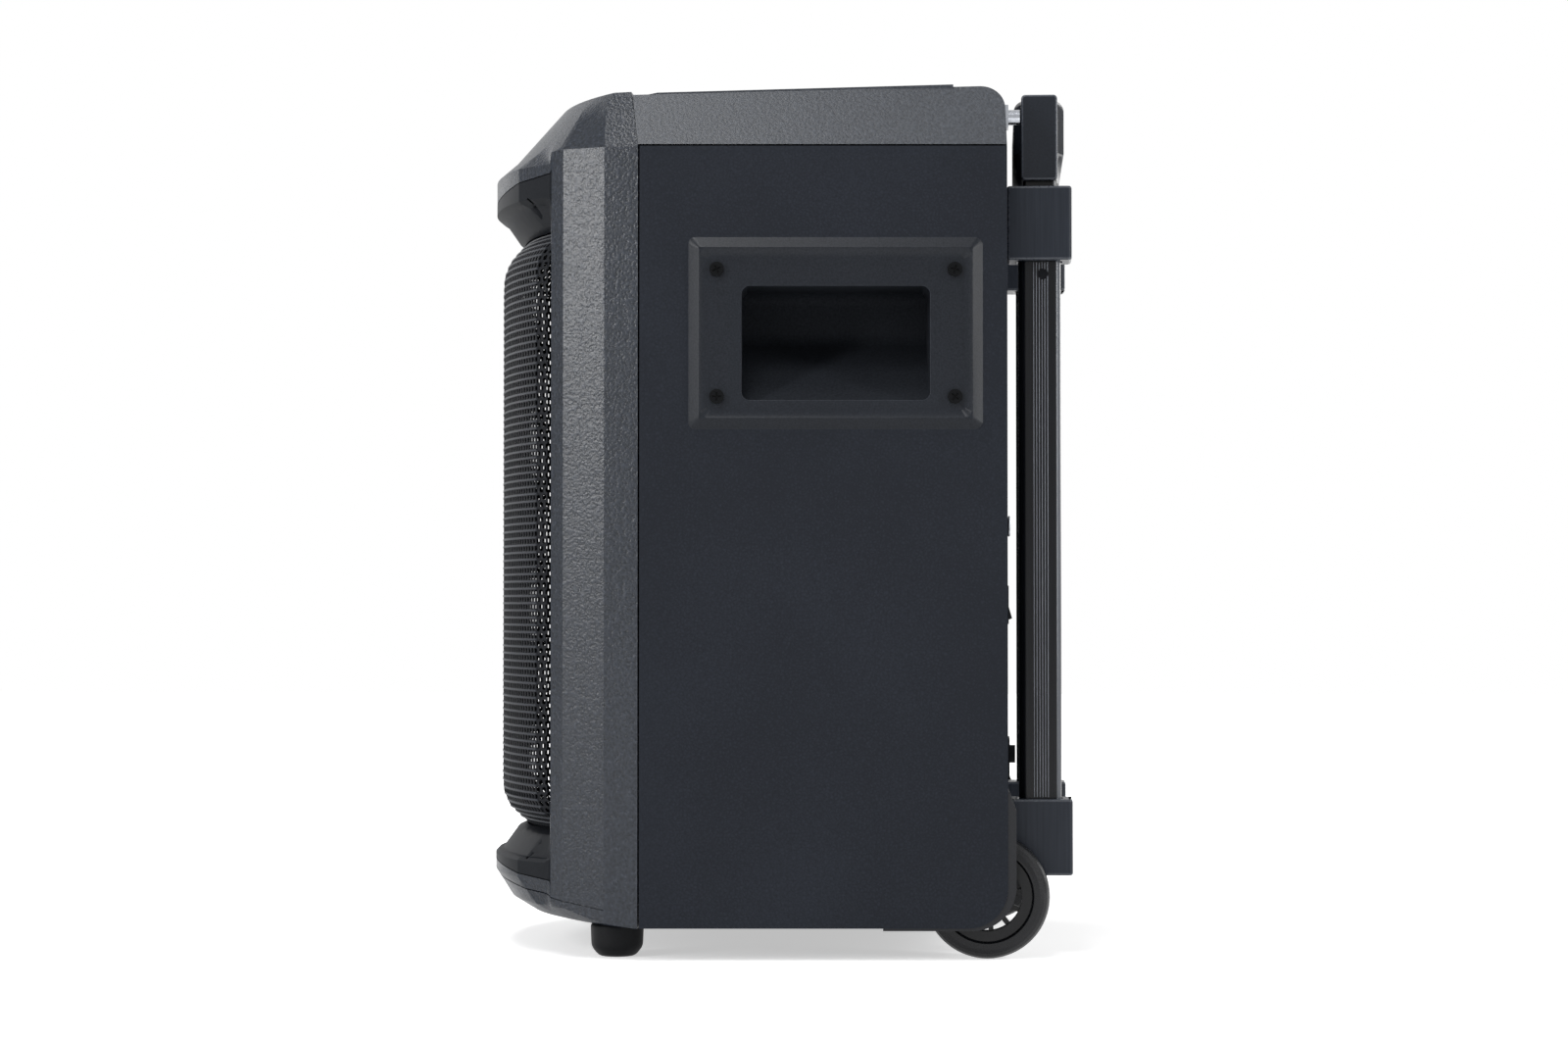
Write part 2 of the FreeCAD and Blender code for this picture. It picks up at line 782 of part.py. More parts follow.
def frame_tongue():
    """Ring behind the seam that fits inside the boards."""
    front = baffle_rear_y
    rear = seam_y + tongue_length
    low = cabinet_bottom + board
    high = cabinet_top - moulding_wall
    outer = plan_prism(inner_plan(seam_y - 1, rear), low, high)
    link = box(-inner_half_width(seam_y), inner_half_width(seam_y), front, seam_y, low, high)
    inner_x = inner_half_width(rear) - moulding_wall
    void = box(-inner_x, inner_x, front - 1, rear + 1, low + moulding_wall, high - moulding_wall)
    walls = box(-half_width_front + 1, half_width_front - 1, seam_y - 2, seam_y, cabinet_bottom + 1, high)
    return fuse_all([outer, link, walls]).cut(void)


def grille_profile(face):
    """Side profile of one face of the sheet, bottom to top, as (distance, height)."""
    top = cabinet_top - grille_flat_drop
    bottom = cabinet_bottom + grille_flat_rise
    top_run = opening_top - top
    bottom_run = bottom - opening_bottom
    deep = face + grille_slope
    lower_back, lower_share = grille_lower_knee
    middle_back, middle_share = grille_middle_knee
    upper_back, upper_share = grille_upper_knee
    return [
        (deep, opening_bottom), (face + lower_back, bottom - bottom_run * lower_share),
        (face, bottom), (face, top), (face + middle_back, top + top_run * middle_share),
        (face + upper_back, top + top_run * upper_share), (deep, opening_top),
    ]


def grille():
    """Curved sheet with sloped ends and bent edges, pierced by a plain grid of openings."""
    outline = grille_profile(grille_back) + grille_profile(grille_back + grille_sheet)[::-1]
    sheet = nose_turn(outline)
    margin_x = opening_half_width - grille_margin
    whole = between_lips(sheet, margin_x)
    edge_radius = nose_radius - grille_back
    start_y = nose_axis_y - math.sqrt(edge_radius ** 2 - margin_x ** 2)
    end_y = start_y + grille_margin_back
    root_x = margin_x - grille_sheet / 4
    for side in (-1, 1):
        strip = [
            (side * root_x, start_y, 0), (side * opening_half_width, end_y, 0),
            (side * opening_half_width, end_y + grille_sheet, 0), (side * root_x, start_y + grille_sheet, 0),
        ]
        bent = plan_prism(strip, opening_bottom + grille_border, opening_top - grille_border)
        whole = whole.fuse(bent)
    return whole.removeSplitter().cut(grille_openings(margin_x))


def grille_openings(half):
    """Grid of openings through the sheet between its borders."""
    pitch_x = (2 * (half - grille_border) + grille_bar) / grille_columns
    low = cabinet_bottom + grille_flat_rise
    high = cabinet_top - grille_flat_drop
    pitch_z = (high - low + grille_bar) / grille_rows
    blocks = []
    for column in range(grille_columns):
        x0 = -half + grille_border + column * pitch_x
        for row in range(grille_rows):
            z0 = low + row * pitch_z
            blocks.append(box(x0, x0 + pitch_x - grille_bar, nose_y, seam_y - 20,
                              z0, z0 + pitch_z - grille_bar))
    return Part.makeCompound(blocks)


# ---------------------------------------------------------------- top cover and controls

def cover_blank(inset=0.0):
    """Top cover's outside: leaning sides, rising top, rounded rear corner."""
    base_z = cabinet_top + seam_gap - inset
    top_z = cover_front_height + cover_rise + 4
    rise = (top_z - cabinet_top) / (cover_front_height - cabinet_top)
    low = [(half_width_front - inset, seam_y, 0), (half_width_rear - inset, rear_y, 0)]
    high = []
    for x, y, radius in low:
        forward = cover_seam_lean * rise if y < 0 else 0.0
        high.append((x - cover_edge_in * rise, y - forward, radius))
    wires = []
    for outline, z in ((low, base_z), (high, top_z)):
        corners = symmetric_plan(outline)
        wires.append(Part.makePolygon([V(x, y, z) for x, y, _ in corners + corners[:1]]))
    body = Part.makeLoft(wires, True, True)
    rear = rear_y - inset
    front = seam_y - 20
    profile = [
        (front, base_z - 1, 0), (rear, base_z - 1, 0),
        (rear - cover_rear_lean, cover_z(rear_y) - inset, cover_rear_radius),
        (front, cover_z(front) - inset, 0),
    ]
    return body.common(side_prism(profile, -half_width_front, half_width_front))


def on_top(shape):
    """Put a shape drawn about the panel's middle, +Z outward, on the top cover."""
    placed = shape.copy()
    placed.rotate(V(0, 0, 0), ACROSS, math.degrees(cover_tilt))
    placed.translate(panel_middle())
    return placed


def panel_middle():
    """Middle of the control panel, at the level of the deck round it."""
    y = seam_y + panel_setback + panel_length / 2
    return V(0, y, cover_z(y) + deck_rise)


def deck():
    """Raised deck on the cover, sloped at its front end, drawn about the panel's middle."""
    front = -panel_length / 2 - deck_ahead
    rear = panel_length / 2 + deck_behind
    half = half_width_front - cover_edge_in - deck_in
    narrow = (rear - front) * math.tan(taper)
    plan = symmetric_plan([(half, front, 0), (half - narrow, rear, 0)])
    slab = plan_prism(plan, -moulding_wall - deck_rise, 0)
    ramp = [
        (front - overrun, overrun, 0), (front + deck_ramp, overrun, 0),
        (front + deck_ramp, 0, 0), (front, -deck_rise, 0), (front - overrun, -deck_rise, 0),
    ]
    return slab.cut(side_prism(ramp, -half_width_front, half_width_front))


def top_cover():
    """Moulded cap over the boards, with a ledge that carries the control panel."""
    hollow = cover_blank(moulding_wall)
    body = cover_blank().cut(hollow)
    half = panel_length / 2
    ledge_bottom = -panel_thickness - moulding_wall + panel_proud
    wide = panel_half_width + panel_ledge
    long = half + panel_ledge
    ledge = box(-wide, wide, -long, long, ledge_bottom, -1)
    body = fuse_all([body, on_top(deck()), on_top(ledge)])
    seat = box(-panel_half_width, panel_half_width, -half, half, panel_proud - panel_thickness, 20)
    inner = panel_half_width - panel_ledge
    window = box(-inner, inner, -half + panel_ledge, half - panel_ledge, ledge_bottom - 2, 20)
    body = body.cut(on_top(seat)).cut(on_top(window))
    rear = inner_rear_y
    front = seam_y + tongue_length
    outer = plan_prism(inner_plan(front, rear), cabinet_top - tongue_length, cabinet_top + seam_gap)
    inner_x = inner_half_width(rear) - moulding_wall
    void = box(-inner_x, inner_x, front + moulding_wall, rear - moulding_wall, 0, 600)
    tongue = outer.cut(void)
    rim = plan_prism(inner_plan(front, rear, -board / 2), cabinet_top + seam_gap,
                     cabinet_top + seam_gap + moulding_wall)
    void_rim = box(-inner_x, inner_x, front + moulding_wall, rear - moulding_wall, 0, 600)
    body = fuse_all([body, tongue, rim.cut(void_rim)])
    socket = cylinder(V(antenna_x, rear_y - 12, antenna_height), BACK, antenna_radius - 1.5, 30)
    return body.cut(socket)


def button_places():
    """Name and panel position of each push button, in a row across the panel."""
    names = ["power_button", "source_button", "play_button", "light_button", "bass_button"]
    first = -button_pitch * (len(names) - 1) / 2
    return [(name, first + index * button_pitch, button_row) for index, name in enumerate(names)]


def knob_places():
    """Name, radius and panel position of each knob."""
    return [
        ("volume_knob", volume_knob_radius, 0.0, knob_row),
        ("mic_knob", small_knob_radius, -small_knob_spread, knob_row),
        ("echo_knob", small_knob_radius, small_knob_spread, knob_row),
    ]


def display_box(grow, z0, z1):
    """Block over the display, ahead of the volume knob."""
    half = display_length / 2 + grow
    y = display_row
    return box(-half, half, y - display_width / 2 - grow, y + display_width / 2 + grow, z0, z1)


def control_panel():
    """Plate in the top cover, with posts that carry the main board."""
    half = panel_length / 2
    under = panel_proud - panel_thickness
    corners = rectangle(-panel_half_width, panel_half_width, -half, half)
    plate = plan_prism(corners, under, panel_proud)
    for _, x, y in button_places():
        hole_x = button_length / 2 + button_gap
        hole_y = button_width / 2 + button_gap
        plate = plate.cut(box(x - hole_x, x + hole_x, y - hole_y, y + hole_y, under - 1, 5))
    for _, _, x, y in knob_places():
        plate = plate.cut(cylinder(V(x, y, under - 1), UP, knob_spindle_radius + knob_gap, 8))
    plate = plate.cut(display_box(0, panel_proud - display_sheet, 5))
    posts = []
    for x in (-1, 1):
        for y in (-1, 1):
            foot = V(x * (panel_half_width - post_in), y * (half - post_in), panel_proud - board_depth)
            posts.append(cylinder(foot, UP, post_radius, board_depth - panel_thickness))
    return on_top(fuse_all([plate] + posts))


def display_window():
    """Clear window let into the panel."""
    return on_top(display_box(0, panel_proud - display_sheet, panel_proud))


def button(x, y):
    """Push button with a wide foot that keeps it under the panel."""
    under = panel_proud - panel_thickness
    cap = box(x - button_length / 2, x + button_length / 2, y - button_width / 2,
              y + button_width / 2, under, panel_proud + button_proud)
    foot = box(x - button_length / 2 - button_foot, x + button_length / 2 + button_foot,
               y - button_width / 2 - button_foot, y + button_width / 2 + button_foot,
               under - button_foot_thickness, under)
    return on_top(fuse_all([cap, foot]))


def knob(radius, x, y):
    """Turned knob on a spindle that runs into its potentiometer."""
    base = panel_proud + knob_gap
    top = base + knob_height
    bottom = panel_proud - board_depth + pot_floor
    profile = [
        (0, bottom), (knob_spindle_radius, bottom), (knob_spindle_radius, base), (radius, base),
        (radius - 0.6, top - 1.2), (radius - 1.8, top), (0, top),
    ]
    return on_top(turned(profile, V(x, y, 0), UP, ACROSS))


def main_board():
    """Circuit board under the panel, with a potentiometer for each knob."""
    top = panel_proud - board_depth
    half_x = panel_half_width - board_in
    half_y = panel_length / 2 - board_in
    parts = [box(-half_x, half_x, -half_y, half_y, top - circuit_board, top)]
    for _, _, x, y in knob_places():
        body = cylinder(V(x, y, top), UP, pot_radius, pot_height)
        parts.append(body)
    whole = fuse_all(parts)
    for _, _, x, y in knob_places():
        bore = cylinder(V(x, y, top + pot_floor), UP, knob_spindle_radius + axle_running, pot_height)
        whole = whole.cut(bore)
    return on_top(whole)


# ---------------------------------------------------------------- drivers

def driver_screw_places():
    """Foot of each driver screw on the baffle's face: woofer ring, then tweeters."""
    places = []
    for index in range(8):
        angle = math.radians(22.5 + 45 * index)
        reach = (woofer_flange_radius + woofer_hole_radius) / 2
        places.append(V(reach * math.cos(angle), baffle_front_y, woofer_height + reach * math.sin(angle)))
    for side in (-1, 1):
        for index in range(4):
            angle = math.radians(45 + 90 * index)
            reach = (tweeter_flange_radius + tweeter_mouth_radius + 1.5) / 2
            x = side * tweeter_spacing / 2 + reach * math.cos(angle)
            places.append(V(x, baffle_front_y, tweeter_height + reach * math.sin(angle)))
    return places


def driver_screws():
    """Pan-head screws through the driver flanges into the baffle."""
    screws = []
    for foot in driver_screw_places():
        seat = foot - BACK * woofer_flange
        shank = cylinder(seat, BACK, driver_screw_radius, driver_screw_length)
        head = cylinder(seat - BACK * driver_screw_head, BACK, driver_screw_head_radius, driver_screw_head)
        screws.append(shank.fuse(head))
    return Part.makeCompound(screws)


def drill_for_screws(shape):
    """Cut the driver screws' holes through a flange."""
    for foot in driver_screw_places():
        shape = shape.cut(cylinder(foot - BACK * 10, BACK, driver_screw_radius, 12))
    return shape


def woofer_centre():
    """Woofer axis where it meets the baffle's front face."""
    return V(0, baffle_front_y, woofer_height)


def woofer_basket():
    """Pressed steel chassis: flange, cone wall and floor."""
    wall = woofer_hole_radius - 1
    floor = woofer_basket_depth
    profile = [
        (woofer_flange_radius, -woofer_flange), (woofer_flange_radius, 0), (wall, 0),
        (basket_floor_radius, floor), (coil_radius + magnet_gap, floor),
        (coil_radius + magnet_gap, floor - basket_sheet),
        (basket_floor_radius - basket_sheet, floor - basket_sheet),
        (wall - basket_sheet, 0), (wall - basket_sheet, -woofer_flange),
    ]
    return drill_for_screws(turned(profile, woofer_centre(), BACK, ACROSS))


def woofer_magnet():
    """Ring magnet with its pole in the middle of the coil's gap."""
    start = woofer_basket_depth
    outer = cylinder(woofer_centre() + BACK * start, BACK, magnet_radius, magnet_thickness)
    gap = tube(woofer_centre() + BACK * start, BACK, coil_radius + magnet_gap,
               coil_radius - coil_wall - magnet_gap, magnet_thickness * 0.6)
    return outer.cut(gap)


def woofer_cone():
    """Paper cone from the surround down to the coil."""
    front = -2.0
    back = front + cone_depth
    profile = [
        (cone_outer_radius, front), (coil_radius, back), (coil_radius, back + cone_paper * 2),
        (cone_outer_radius, front + cone_paper),
    ]
    return turned(profile, woofer_centre(), BACK, ACROSS)


def woofer_surround():
    """Rubber half roll between the cone and the basket's flange."""
    inner = cone_outer_radius
    outer = woofer_hole_radius - 1 - basket_sheet
    middle = (inner + outer) / 2
    half = (outer - inner) / 2
    seat = -1.3
    steps = 8
    roll = []
    for index in range(steps + 1):
        angle = math.pi * index / steps
        roll.append((middle - half * math.cos(angle), seat - roll_height * math.sin(angle)))
    under = []
    for index in range(steps + 1):
        angle = math.pi * (steps - index) / steps
        under.append((middle - half * math.cos(angle), seat + 0.7 - roll_height * 0.8 * math.sin(angle)))
    return turned(roll + under, woofer_centre(), BACK, ACROSS)


def voice_coil():
    """Coil former from the cone into the magnet's gap."""
    start = cone_depth - 2.0
    return tube(woofer_centre() + BACK * start, BACK, coil_radius, coil_radius - coil_wall,
                woofer_basket_depth - start + magnet_thickness * 0.3)


def woofer_dust_cap():
    """Domed cap over the coil, seated on the cone's throat."""
    radius = coil_radius
    dome = (radius ** 2 + cap_height ** 2) / (2 * cap_height)
    seat = cone_depth - 2.0
    centre = woofer_centre() + BACK * (seat + dome - cap_height)
    shell = Part.makeSphere(dome, centre).cut(Part.makeSphere(dome - 1, centre))
    reach = cylinder(woofer_centre() + BACK * (seat - cap_height - 1), BACK, radius, cap_height + 1)
    return shell.common(reach)


def light_ring():
    """Diffuser ring round the woofer, on the baffle."""
    foot = woofer_centre() - BACK * light_ring_height
    inner = woofer_flange_radius + 0.5
    return tube(foot, BACK, inner + light_ring_width, inner, light_ring_height)


def tweeter_horn(side):
    """Flared horn on one side of the baffle."""
    centre = V(side * tweeter_spacing / 2, baffle_front_y, tweeter_height)
    depth = tweeter_horn_depth
    mouth = tweeter_mouth_radius
    throat = tweeter_throat_radius
    profile = [
        (tweeter_flange_radius, -woofer_flange), (tweeter_flange_radius, 0), (mouth, 0),
        (throat + 6, depth * 0.6), (throat + 3, depth), (throat, depth),
        (throat + 2, depth * 0.5), (mouth - 5, -1), (mouth - 1, -woofer_flange),
    ]
    return drill_for_screws(turned(profile, centre, BACK, ACROSS))


def tweeter_driver(side):
    """Compression driver on the horn's throat."""
    foot = V(side * tweeter_spacing / 2, baffle_front_y + tweeter_horn_depth, tweeter_height)
    return cylinder(foot, BACK, tweeter_driver_radius, tweeter_driver_length)


def bass_port():
    """Port tube let into the rear board, flush with its outer face."""
    mouth = V(0, rear_y - port_wall, port_height)
    flange = cylinder(mouth, BACK, port_radius + port_flange, port_wall)
    pipe = cylinder(mouth - BACK * port_length, BACK, port_radius + port_wall, port_length)
    bore = cylinder(mouth - BACK * (port_length + 1), BACK, port_radius, port_length + port_wall + 2)
    return fuse_all([flange, pipe]).cut(bore)


# ---------------------------------------------------------------- pocket handles

def frustum(half_length, half_height, w0, w1, shrink, radius):
    """Rectangular block whose far face is smaller by shrink on each side."""
    wires = []
    for w, less in ((w0, 0.0), (w1, shrink)):
        u = half_length - less
        v = half_height - less
        corners = rectangle(-u, u, -v, v, max(0.5, radius - less * 0.4))
        wires.append(rounded_wire(corners, lambda a, b, level=w: V(level, a, b)))
    return Part.makeLoft(wires, True, True)


def pocket_space(grow=0.0):
    """Space for the fingers: shallow at the sill, deep under the roof."""
    floor = -pocket_height / 2 - pocket_drop - grow
    roof = pocket_height / 2 - pocket_drop + grow
    deep = -pocket_depth - grow
    profile = rounded_wire([
        (handle_proud + 1, floor, 0), (handle_proud + 1, roof, 0), (deep, roof, 8),
        (deep, roof - pocket_roof_run, 12), (-pocket_sill_depth - grow, floor, 0),
    ], lambda w, v: V(w, -pocket_length, v))
    wedge = Part.Face(profile).extrude(V(0, 2 * pocket_length, 0))
    return wedge.common(pocket_mouth(grow, deep - 1, handle_proud + 1))


def pocket_handle():
    """Bevelled surround with its finger pocket, on the right-hand board."""
    half_length = handle_length / 2
    half_height = handle_height / 2
    rim_in = handle_outer_bevel + handle_rim
    body = frustum(half_length, half_height, 0, handle_proud, handle_outer_bevel, handle_corner)
    depth = handle_proud - handle_plate_level
    recess = frustum(half_length - rim_in - handle_inner_bevel, half_height - rim_in - handle_inner_bevel,
                     handle_plate_level, handle_proud, -handle_inner_bevel, 2.0)
    body = body.cut(recess)
    shell = pocket_space(pocket_wall).common(
        pocket_mouth(pocket_wall, -pocket_depth - 10, handle_proud - depth))
    body = fuse_all([body, shell]).cut(pocket_space())
    for place in handle_screw_places():
        body = body.cut(cylinder(place - ACROSS * 10, ACROSS, screw_radius, 20))
    return on_side_board(body)


def handle_screw_places():
    """Seat of each handle screw on the surround's plate, drawn about the handle's middle."""
    u = handle_length / 2 - handle_screw_in
    return [V(handle_plate_level, a * u, b * handle_screw_rise) for a in (-1, 1) for b in (-1, 1)]


# ---------------------------------------------------------------- screws

def cross_screw(seat, axis, spin):
    """Pan-head screw with a cross recess; its head stands out along axis."""
    head = cylinder(V(0, 0, 0), UP, screw_head_radius, screw_head)
    shank = cylinder(V(0, 0, -screw_length), UP, screw_radius, screw_length)
    arm = screw_head_radius * 0.6
    half = cross_width / 2
    slot = box(-arm, arm, -half, half, screw_head - cross_depth, screw_head + 1)
    slot = slot.fuse(box(-half, half, -arm, arm, screw_head - cross_depth, screw_head + 1))
    screw = fuse_all([head, shank]).cut(slot)
    screw.rotate(V(0, 0, 0), UP, spin)
    screw.Placement = FreeCAD.Placement(seat, FreeCAD.Rotation(UP, axis)).multiply(screw.Placement)
    return screw


def bracket_screw_places():
    """Seat of each bracket screw on the rear board's inner face."""
    places = []
    for low, height in ((lower_bracket_bottom, lower_bracket_height),
                        (upper_bracket_bottom, upper_bracket_height)):
        for share in (0.25, 0.75):
            places.append(V(trolley_half_spacing, inner_rear_y, low + height * share))
    return places


def case_screws():
    """Identical screws of the handles and the trolley brackets."""
    right = []
    for index, place in enumerate(handle_screw_places()):
        right.append(on_side_board(cross_screw(place, ACROSS, 25 * index)))
    for index, place in enumerate(bracket_screw_places()):
        right.append(cross_screw(place, BACK * -1, 20 + 30 * index))
    return Part.makeCompound(right + [mirrored(screw) for screw in right])


# ---------------------------------------------------------------- rear fittings

def jack_plate_blank(grow, y0, y1):
    """Block of the jack plate's outline."""
    half = jack_plate_width / 2 + grow
    corners = rectangle(-half, half, jack_plate_bottom - grow,
                        jack_plate_bottom + jack_plate_height + grow, 4.0)
    return front_prism(corners, y0, y1)


def jack_centre(column):
    """Centre of a socket on the jack plate's face."""
    return V(column * jack_spacing, rear_y, jack_plate_bottom + jack_plate_height / 2)


def usb_outline(grow, y0, y1):
    """Block through the USB socket's mouth."""
    centre = jack_centre(1.6)
    return box(centre.x - usb_width / 2 - grow, centre.x + usb_width / 2 + grow, y0, y1,
               centre.z - usb_height / 2 - grow, centre.z + usb_height / 2 + grow)


def jack_plate():
    """Flush plate in the rear board, bored for its sockets."""
    plate = jack_plate_blank(0.0, rear_y - jack_plate_thickness, rear_y)
    for column in (-1.6, -0.6):
        plate = plate.cut(cylinder(jack_centre(column) - BACK * 5, BACK, mic_barrel_radius - 1.5, 10))
    plate = plate.cut(cylinder(jack_centre(0.5) - BACK * 5, BACK, aux_barrel_radius - 1.0, 10))
    return plate.cut(usb_outline(usb_shell, rear_y - 5, rear_y + 5))


def socket_barrel(centre, bore, barrel, neck, depth):
    """Round jack socket behind the plate, with its neck flush in the plate."""
    body = cylinder(centre - BACK * depth, BACK, barrel, depth - jack_plate_thickness)
    front = cylinder(centre - BACK * jack_plate_thickness, BACK, neck, jack_plate_thickness)
    return fuse_all([body, front]).cut(cylinder(centre - BACK * (depth - 3), BACK, bore, depth))


def microphone_jacks():
    """Two 6.35 mm microphone sockets."""
    return Part.makeCompound([
        socket_barrel(jack_centre(column), mic_bore_radius, mic_barrel_radius,
                      mic_barrel_radius - 1.5, mic_depth)
        for column in (-1.6, -0.6)
    ])


def aux_jack():
    """3.5 mm line input."""
    return socket_barrel(jack_centre(0.5), aux_bore_radius, aux_barrel_radius,
                         aux_barrel_radius - 1.0, aux_depth)


def usb_socket():
    """Steel shell of the USB socket."""
    shell = usb_outline(usb_shell, rear_y - usb_depth, rear_y)
    return shell.cut(usb_outline(0.0, rear_y - usb_depth + 1.5, rear_y + 1))


def inlet_centre():
    """Centre of the mains inlet on the rear board."""
    return V(0, rear_y, inlet_bottom + inlet_plate_height * 0.56)


def inlet_outline(grow, y0, y1):
    """Figure-of-eight inlet's rounded outline."""
    centre = inlet_centre()
    half = inlet_width / 2 + grow
    high = inlet_height / 2 + grow
    corners = rectangle(centre.x - half, centre.x + half, centre.z - high, centre.z + high, high * 0.98)
    return front_prism(corners, y0, y1)


def inlet_body(grow, y0, y1):
    """Inlet's body behind its plate."""
    return inlet_outline(grow + inlet_collar, y0, y1)


def mains_inlet():
    """Two-pin inlet: plate, collar and pins."""
    centre = inlet_centre()
    half = inlet_plate_width / 2
    plate = front_prism(rectangle(-half, half, inlet_bottom, inlet_bottom + inlet_plate_height, 3.0),
                        rear_y, rear_y + inlet_plate)
    body = inlet_body(0.0, rear_y - inlet_depth, rear_y + inlet_proud)
    whole = fuse_all([plate, body])
    whole = whole.cut(inlet_outline(0.0, rear_y - inlet_depth + 2, rear_y + inlet_proud + 1))
    pins = []
    for side in (-1, 1):
        foot = centre + V(side * inlet_pin_spacing / 2, -inlet_depth + 1, 0)
        pins.append(cylinder(foot, BACK, inlet_pin_radius, inlet_pin_length + 1))
    return fuse_all([whole] + pins)


def rocker_outline(grow, y0, y1):
    """Block through the rocker switch's opening."""
    half = rocker_width / 2 + rocker_gap + grow
    high = rocker_height / 2 + rocker_gap + grow
    return box(-half, half, y0, y1, rocker_centre_height - high, rocker_centre_height + high)


def rocker_body(grow, y0, y1):
    """Outside of the switch body behind its bezel."""
    return rocker_outline(grow + rocker_bezel_wall, y0, y1)


def rocker_bezel():
    """Switch body and bezel, with trunnion holes for the rocker."""
    bezel = rocker_outline(rocker_bezel_border - rocker_gap, rear_y, rear_y + rocker_bezel_proud)
    body = rocker_body(0.0, rear_y - rocker_bezel_depth, rear_y)
    whole = fuse_all([bezel, body])
    whole = whole.cut(rocker_outline(0.0, rear_y - rocker_bezel_depth + 2, rear_y + 5))
    pivot = cylinder(rocker_pivot() - ACROSS * 20, ACROSS, rocker_pin_radius + axle_running, 40)
    return whole.cut(pivot)


def rocker_pivot():
    """Middle of the rocker's axis."""
    return V(0, rear_y - 2.5, rocker_centre_height)


def rocker_switch():
    """Rocker with its lower end out, on two short trunnions."""
    half = rocker_height / 2
    raised = 2.2
    profile = [
        (-rocker_thickness, -half * 0.5, 0), (-rocker_thickness, half * 0.5, 0), (raised, half, 0),
        (raised + 2.4, half - 0.6, 0), (raised + 1.1, 0, 0), (raised + 2.4, -half + 0.6, 0),
        (raised, -half, 0),
    ]
    paddle = side_prism(profile, -rocker_width / 2, rocker_width / 2)
    reach = rocker_width / 2 + rocker_gap + rocker_bezel_wall - 0.2
    trunnions = cylinder(V(-reach, 0, 0), ACROSS, rocker_pin_radius, reach * 2)
    whole = fuse_all([paddle, trunnions])
    whole.rotate(V(0, 0, 0), ACROSS, rocker_tilt)
    whole.translate(rocker_pivot())
    return whole


def antenna_socket():
    """Screw-on socket for an FM antenna, on its black plate."""
    face = antenna_face_y()
    half = antenna_plate_size / 2
    plate = box(antenna_x - half, antenna_x + half, face - antenna_plate, face,
                antenna_height - half, antenna_height + half)
    tail = face - antenna_plate - 8
    barrel = cylinder(V(antenna_x, face, antenna_height), BACK, antenna_radius, antenna_length)
    stem = cylinder(V(antenna_x, tail, antenna_height), BACK, antenna_radius - 1.5, 9 + antenna_plate)
    bore = cylinder(V(antenna_x, face + 1, antenna_height), BACK, antenna_bore_radius, antenna_length)
    plate = plate.cut(top_cover_outside())
    return fuse_all([plate, barrel, stem]).cut(bore)


def antenna_face_y():
    """Depth of the antenna plate's outer face."""
    return rear_y + 0.9


def top_cover_outside():
    """Solid outside of the top cover, to seat a fitting against it."""
    return cover_blank()


# ---------------------------------------------------------------- trolley handle

def tube_section(level):
    """Depth, width and corner radius of a nested tube; level 0 is the outer one."""
    less = 2 * level * (tube_wall + tube_gap)
    return outer_tube_depth - less, outer_tube_width - less, outer_tube_corner - less / 2


def tube_block(level, z0, z1, grow=0.0):
    """Solid bar of a tube's outline on the right-hand side."""
    depth, width, corner = tube_section(level)
    half_x = width / 2 + grow
    half_y = depth / 2 + grow
    corners = rectangle(trolley_half_spacing - half_x, trolley_half_spacing + half_x,
                        tube_y - half_y, tube_y + half_y, corner + grow)
    return plan_prism(corners, z0, z1)


def trolley_tube(level, z0, z1):
    """One hollow tube of the telescope."""
    return tube_block(level, z0, z1).cut(tube_block(level, z0 - 1, z1 + 1, -tube_wall))


def outer_tubes():
    """Fixed tubes between the lower and upper brackets."""
    bottom = lower_bracket_bottom + bracket_wall_under
    return both_sides(trolley_tube(0, bottom, upper_bracket_top - tube_top_step))


def middle_tubes():
    """First sliding section."""
    bottom = lower_bracket_bottom + bracket_wall_under
    return both_sides(trolley_tube(1, bottom, upper_bracket_top))


def inner_tubes():
    """Second sliding section, fixed in the grip."""
    bottom = lower_bracket_bottom + bracket_wall_under
    return both_sides(trolley_tube(2, bottom, grip_bottom + grip_socket_depth))


def bracket(z0, height):
    """Block that clamps a tube to the rear board."""
    corners = [
        (bracket_inner_x, rear_y, 0), (bracket_outer_x, rear_y, 0),
        (bracket_outer_x, rear_y + trolley_depth, bracket_corner),
        (bracket_inner_x, rear_y + trolley_depth, bracket_corner),
    ]
    block = plan_prism(corners, z0, z0 + height)
    for place in bracket_screw_places():
        block = block.cut(cylinder(place, BACK, screw_radius, screw_length))
    return block


def lower_brackets():
    """Cups that hold the outer tubes' lower ends."""
    block = bracket(lower_bracket_bottom, lower_bracket_height)
    cup = tube_block(0, lower_bracket_bottom + bracket_wall_under, lower_bracket_top + 1)
    return both_sides(block.cut(cup))


def upper_brackets():
    """Collars round the outer tubes' upper ends, with a hole for the sliding section."""
    block = bracket(upper_bracket_bottom, upper_bracket_height)
    collar = tube_block(0, upper_bracket_bottom - 1, upper_bracket_top - tube_top_step)
    throat = tube_block(1, upper_bracket_bottom, upper_bracket_top + 1, tube_gap)
    return both_sides(block.cut(collar).cut(throat))


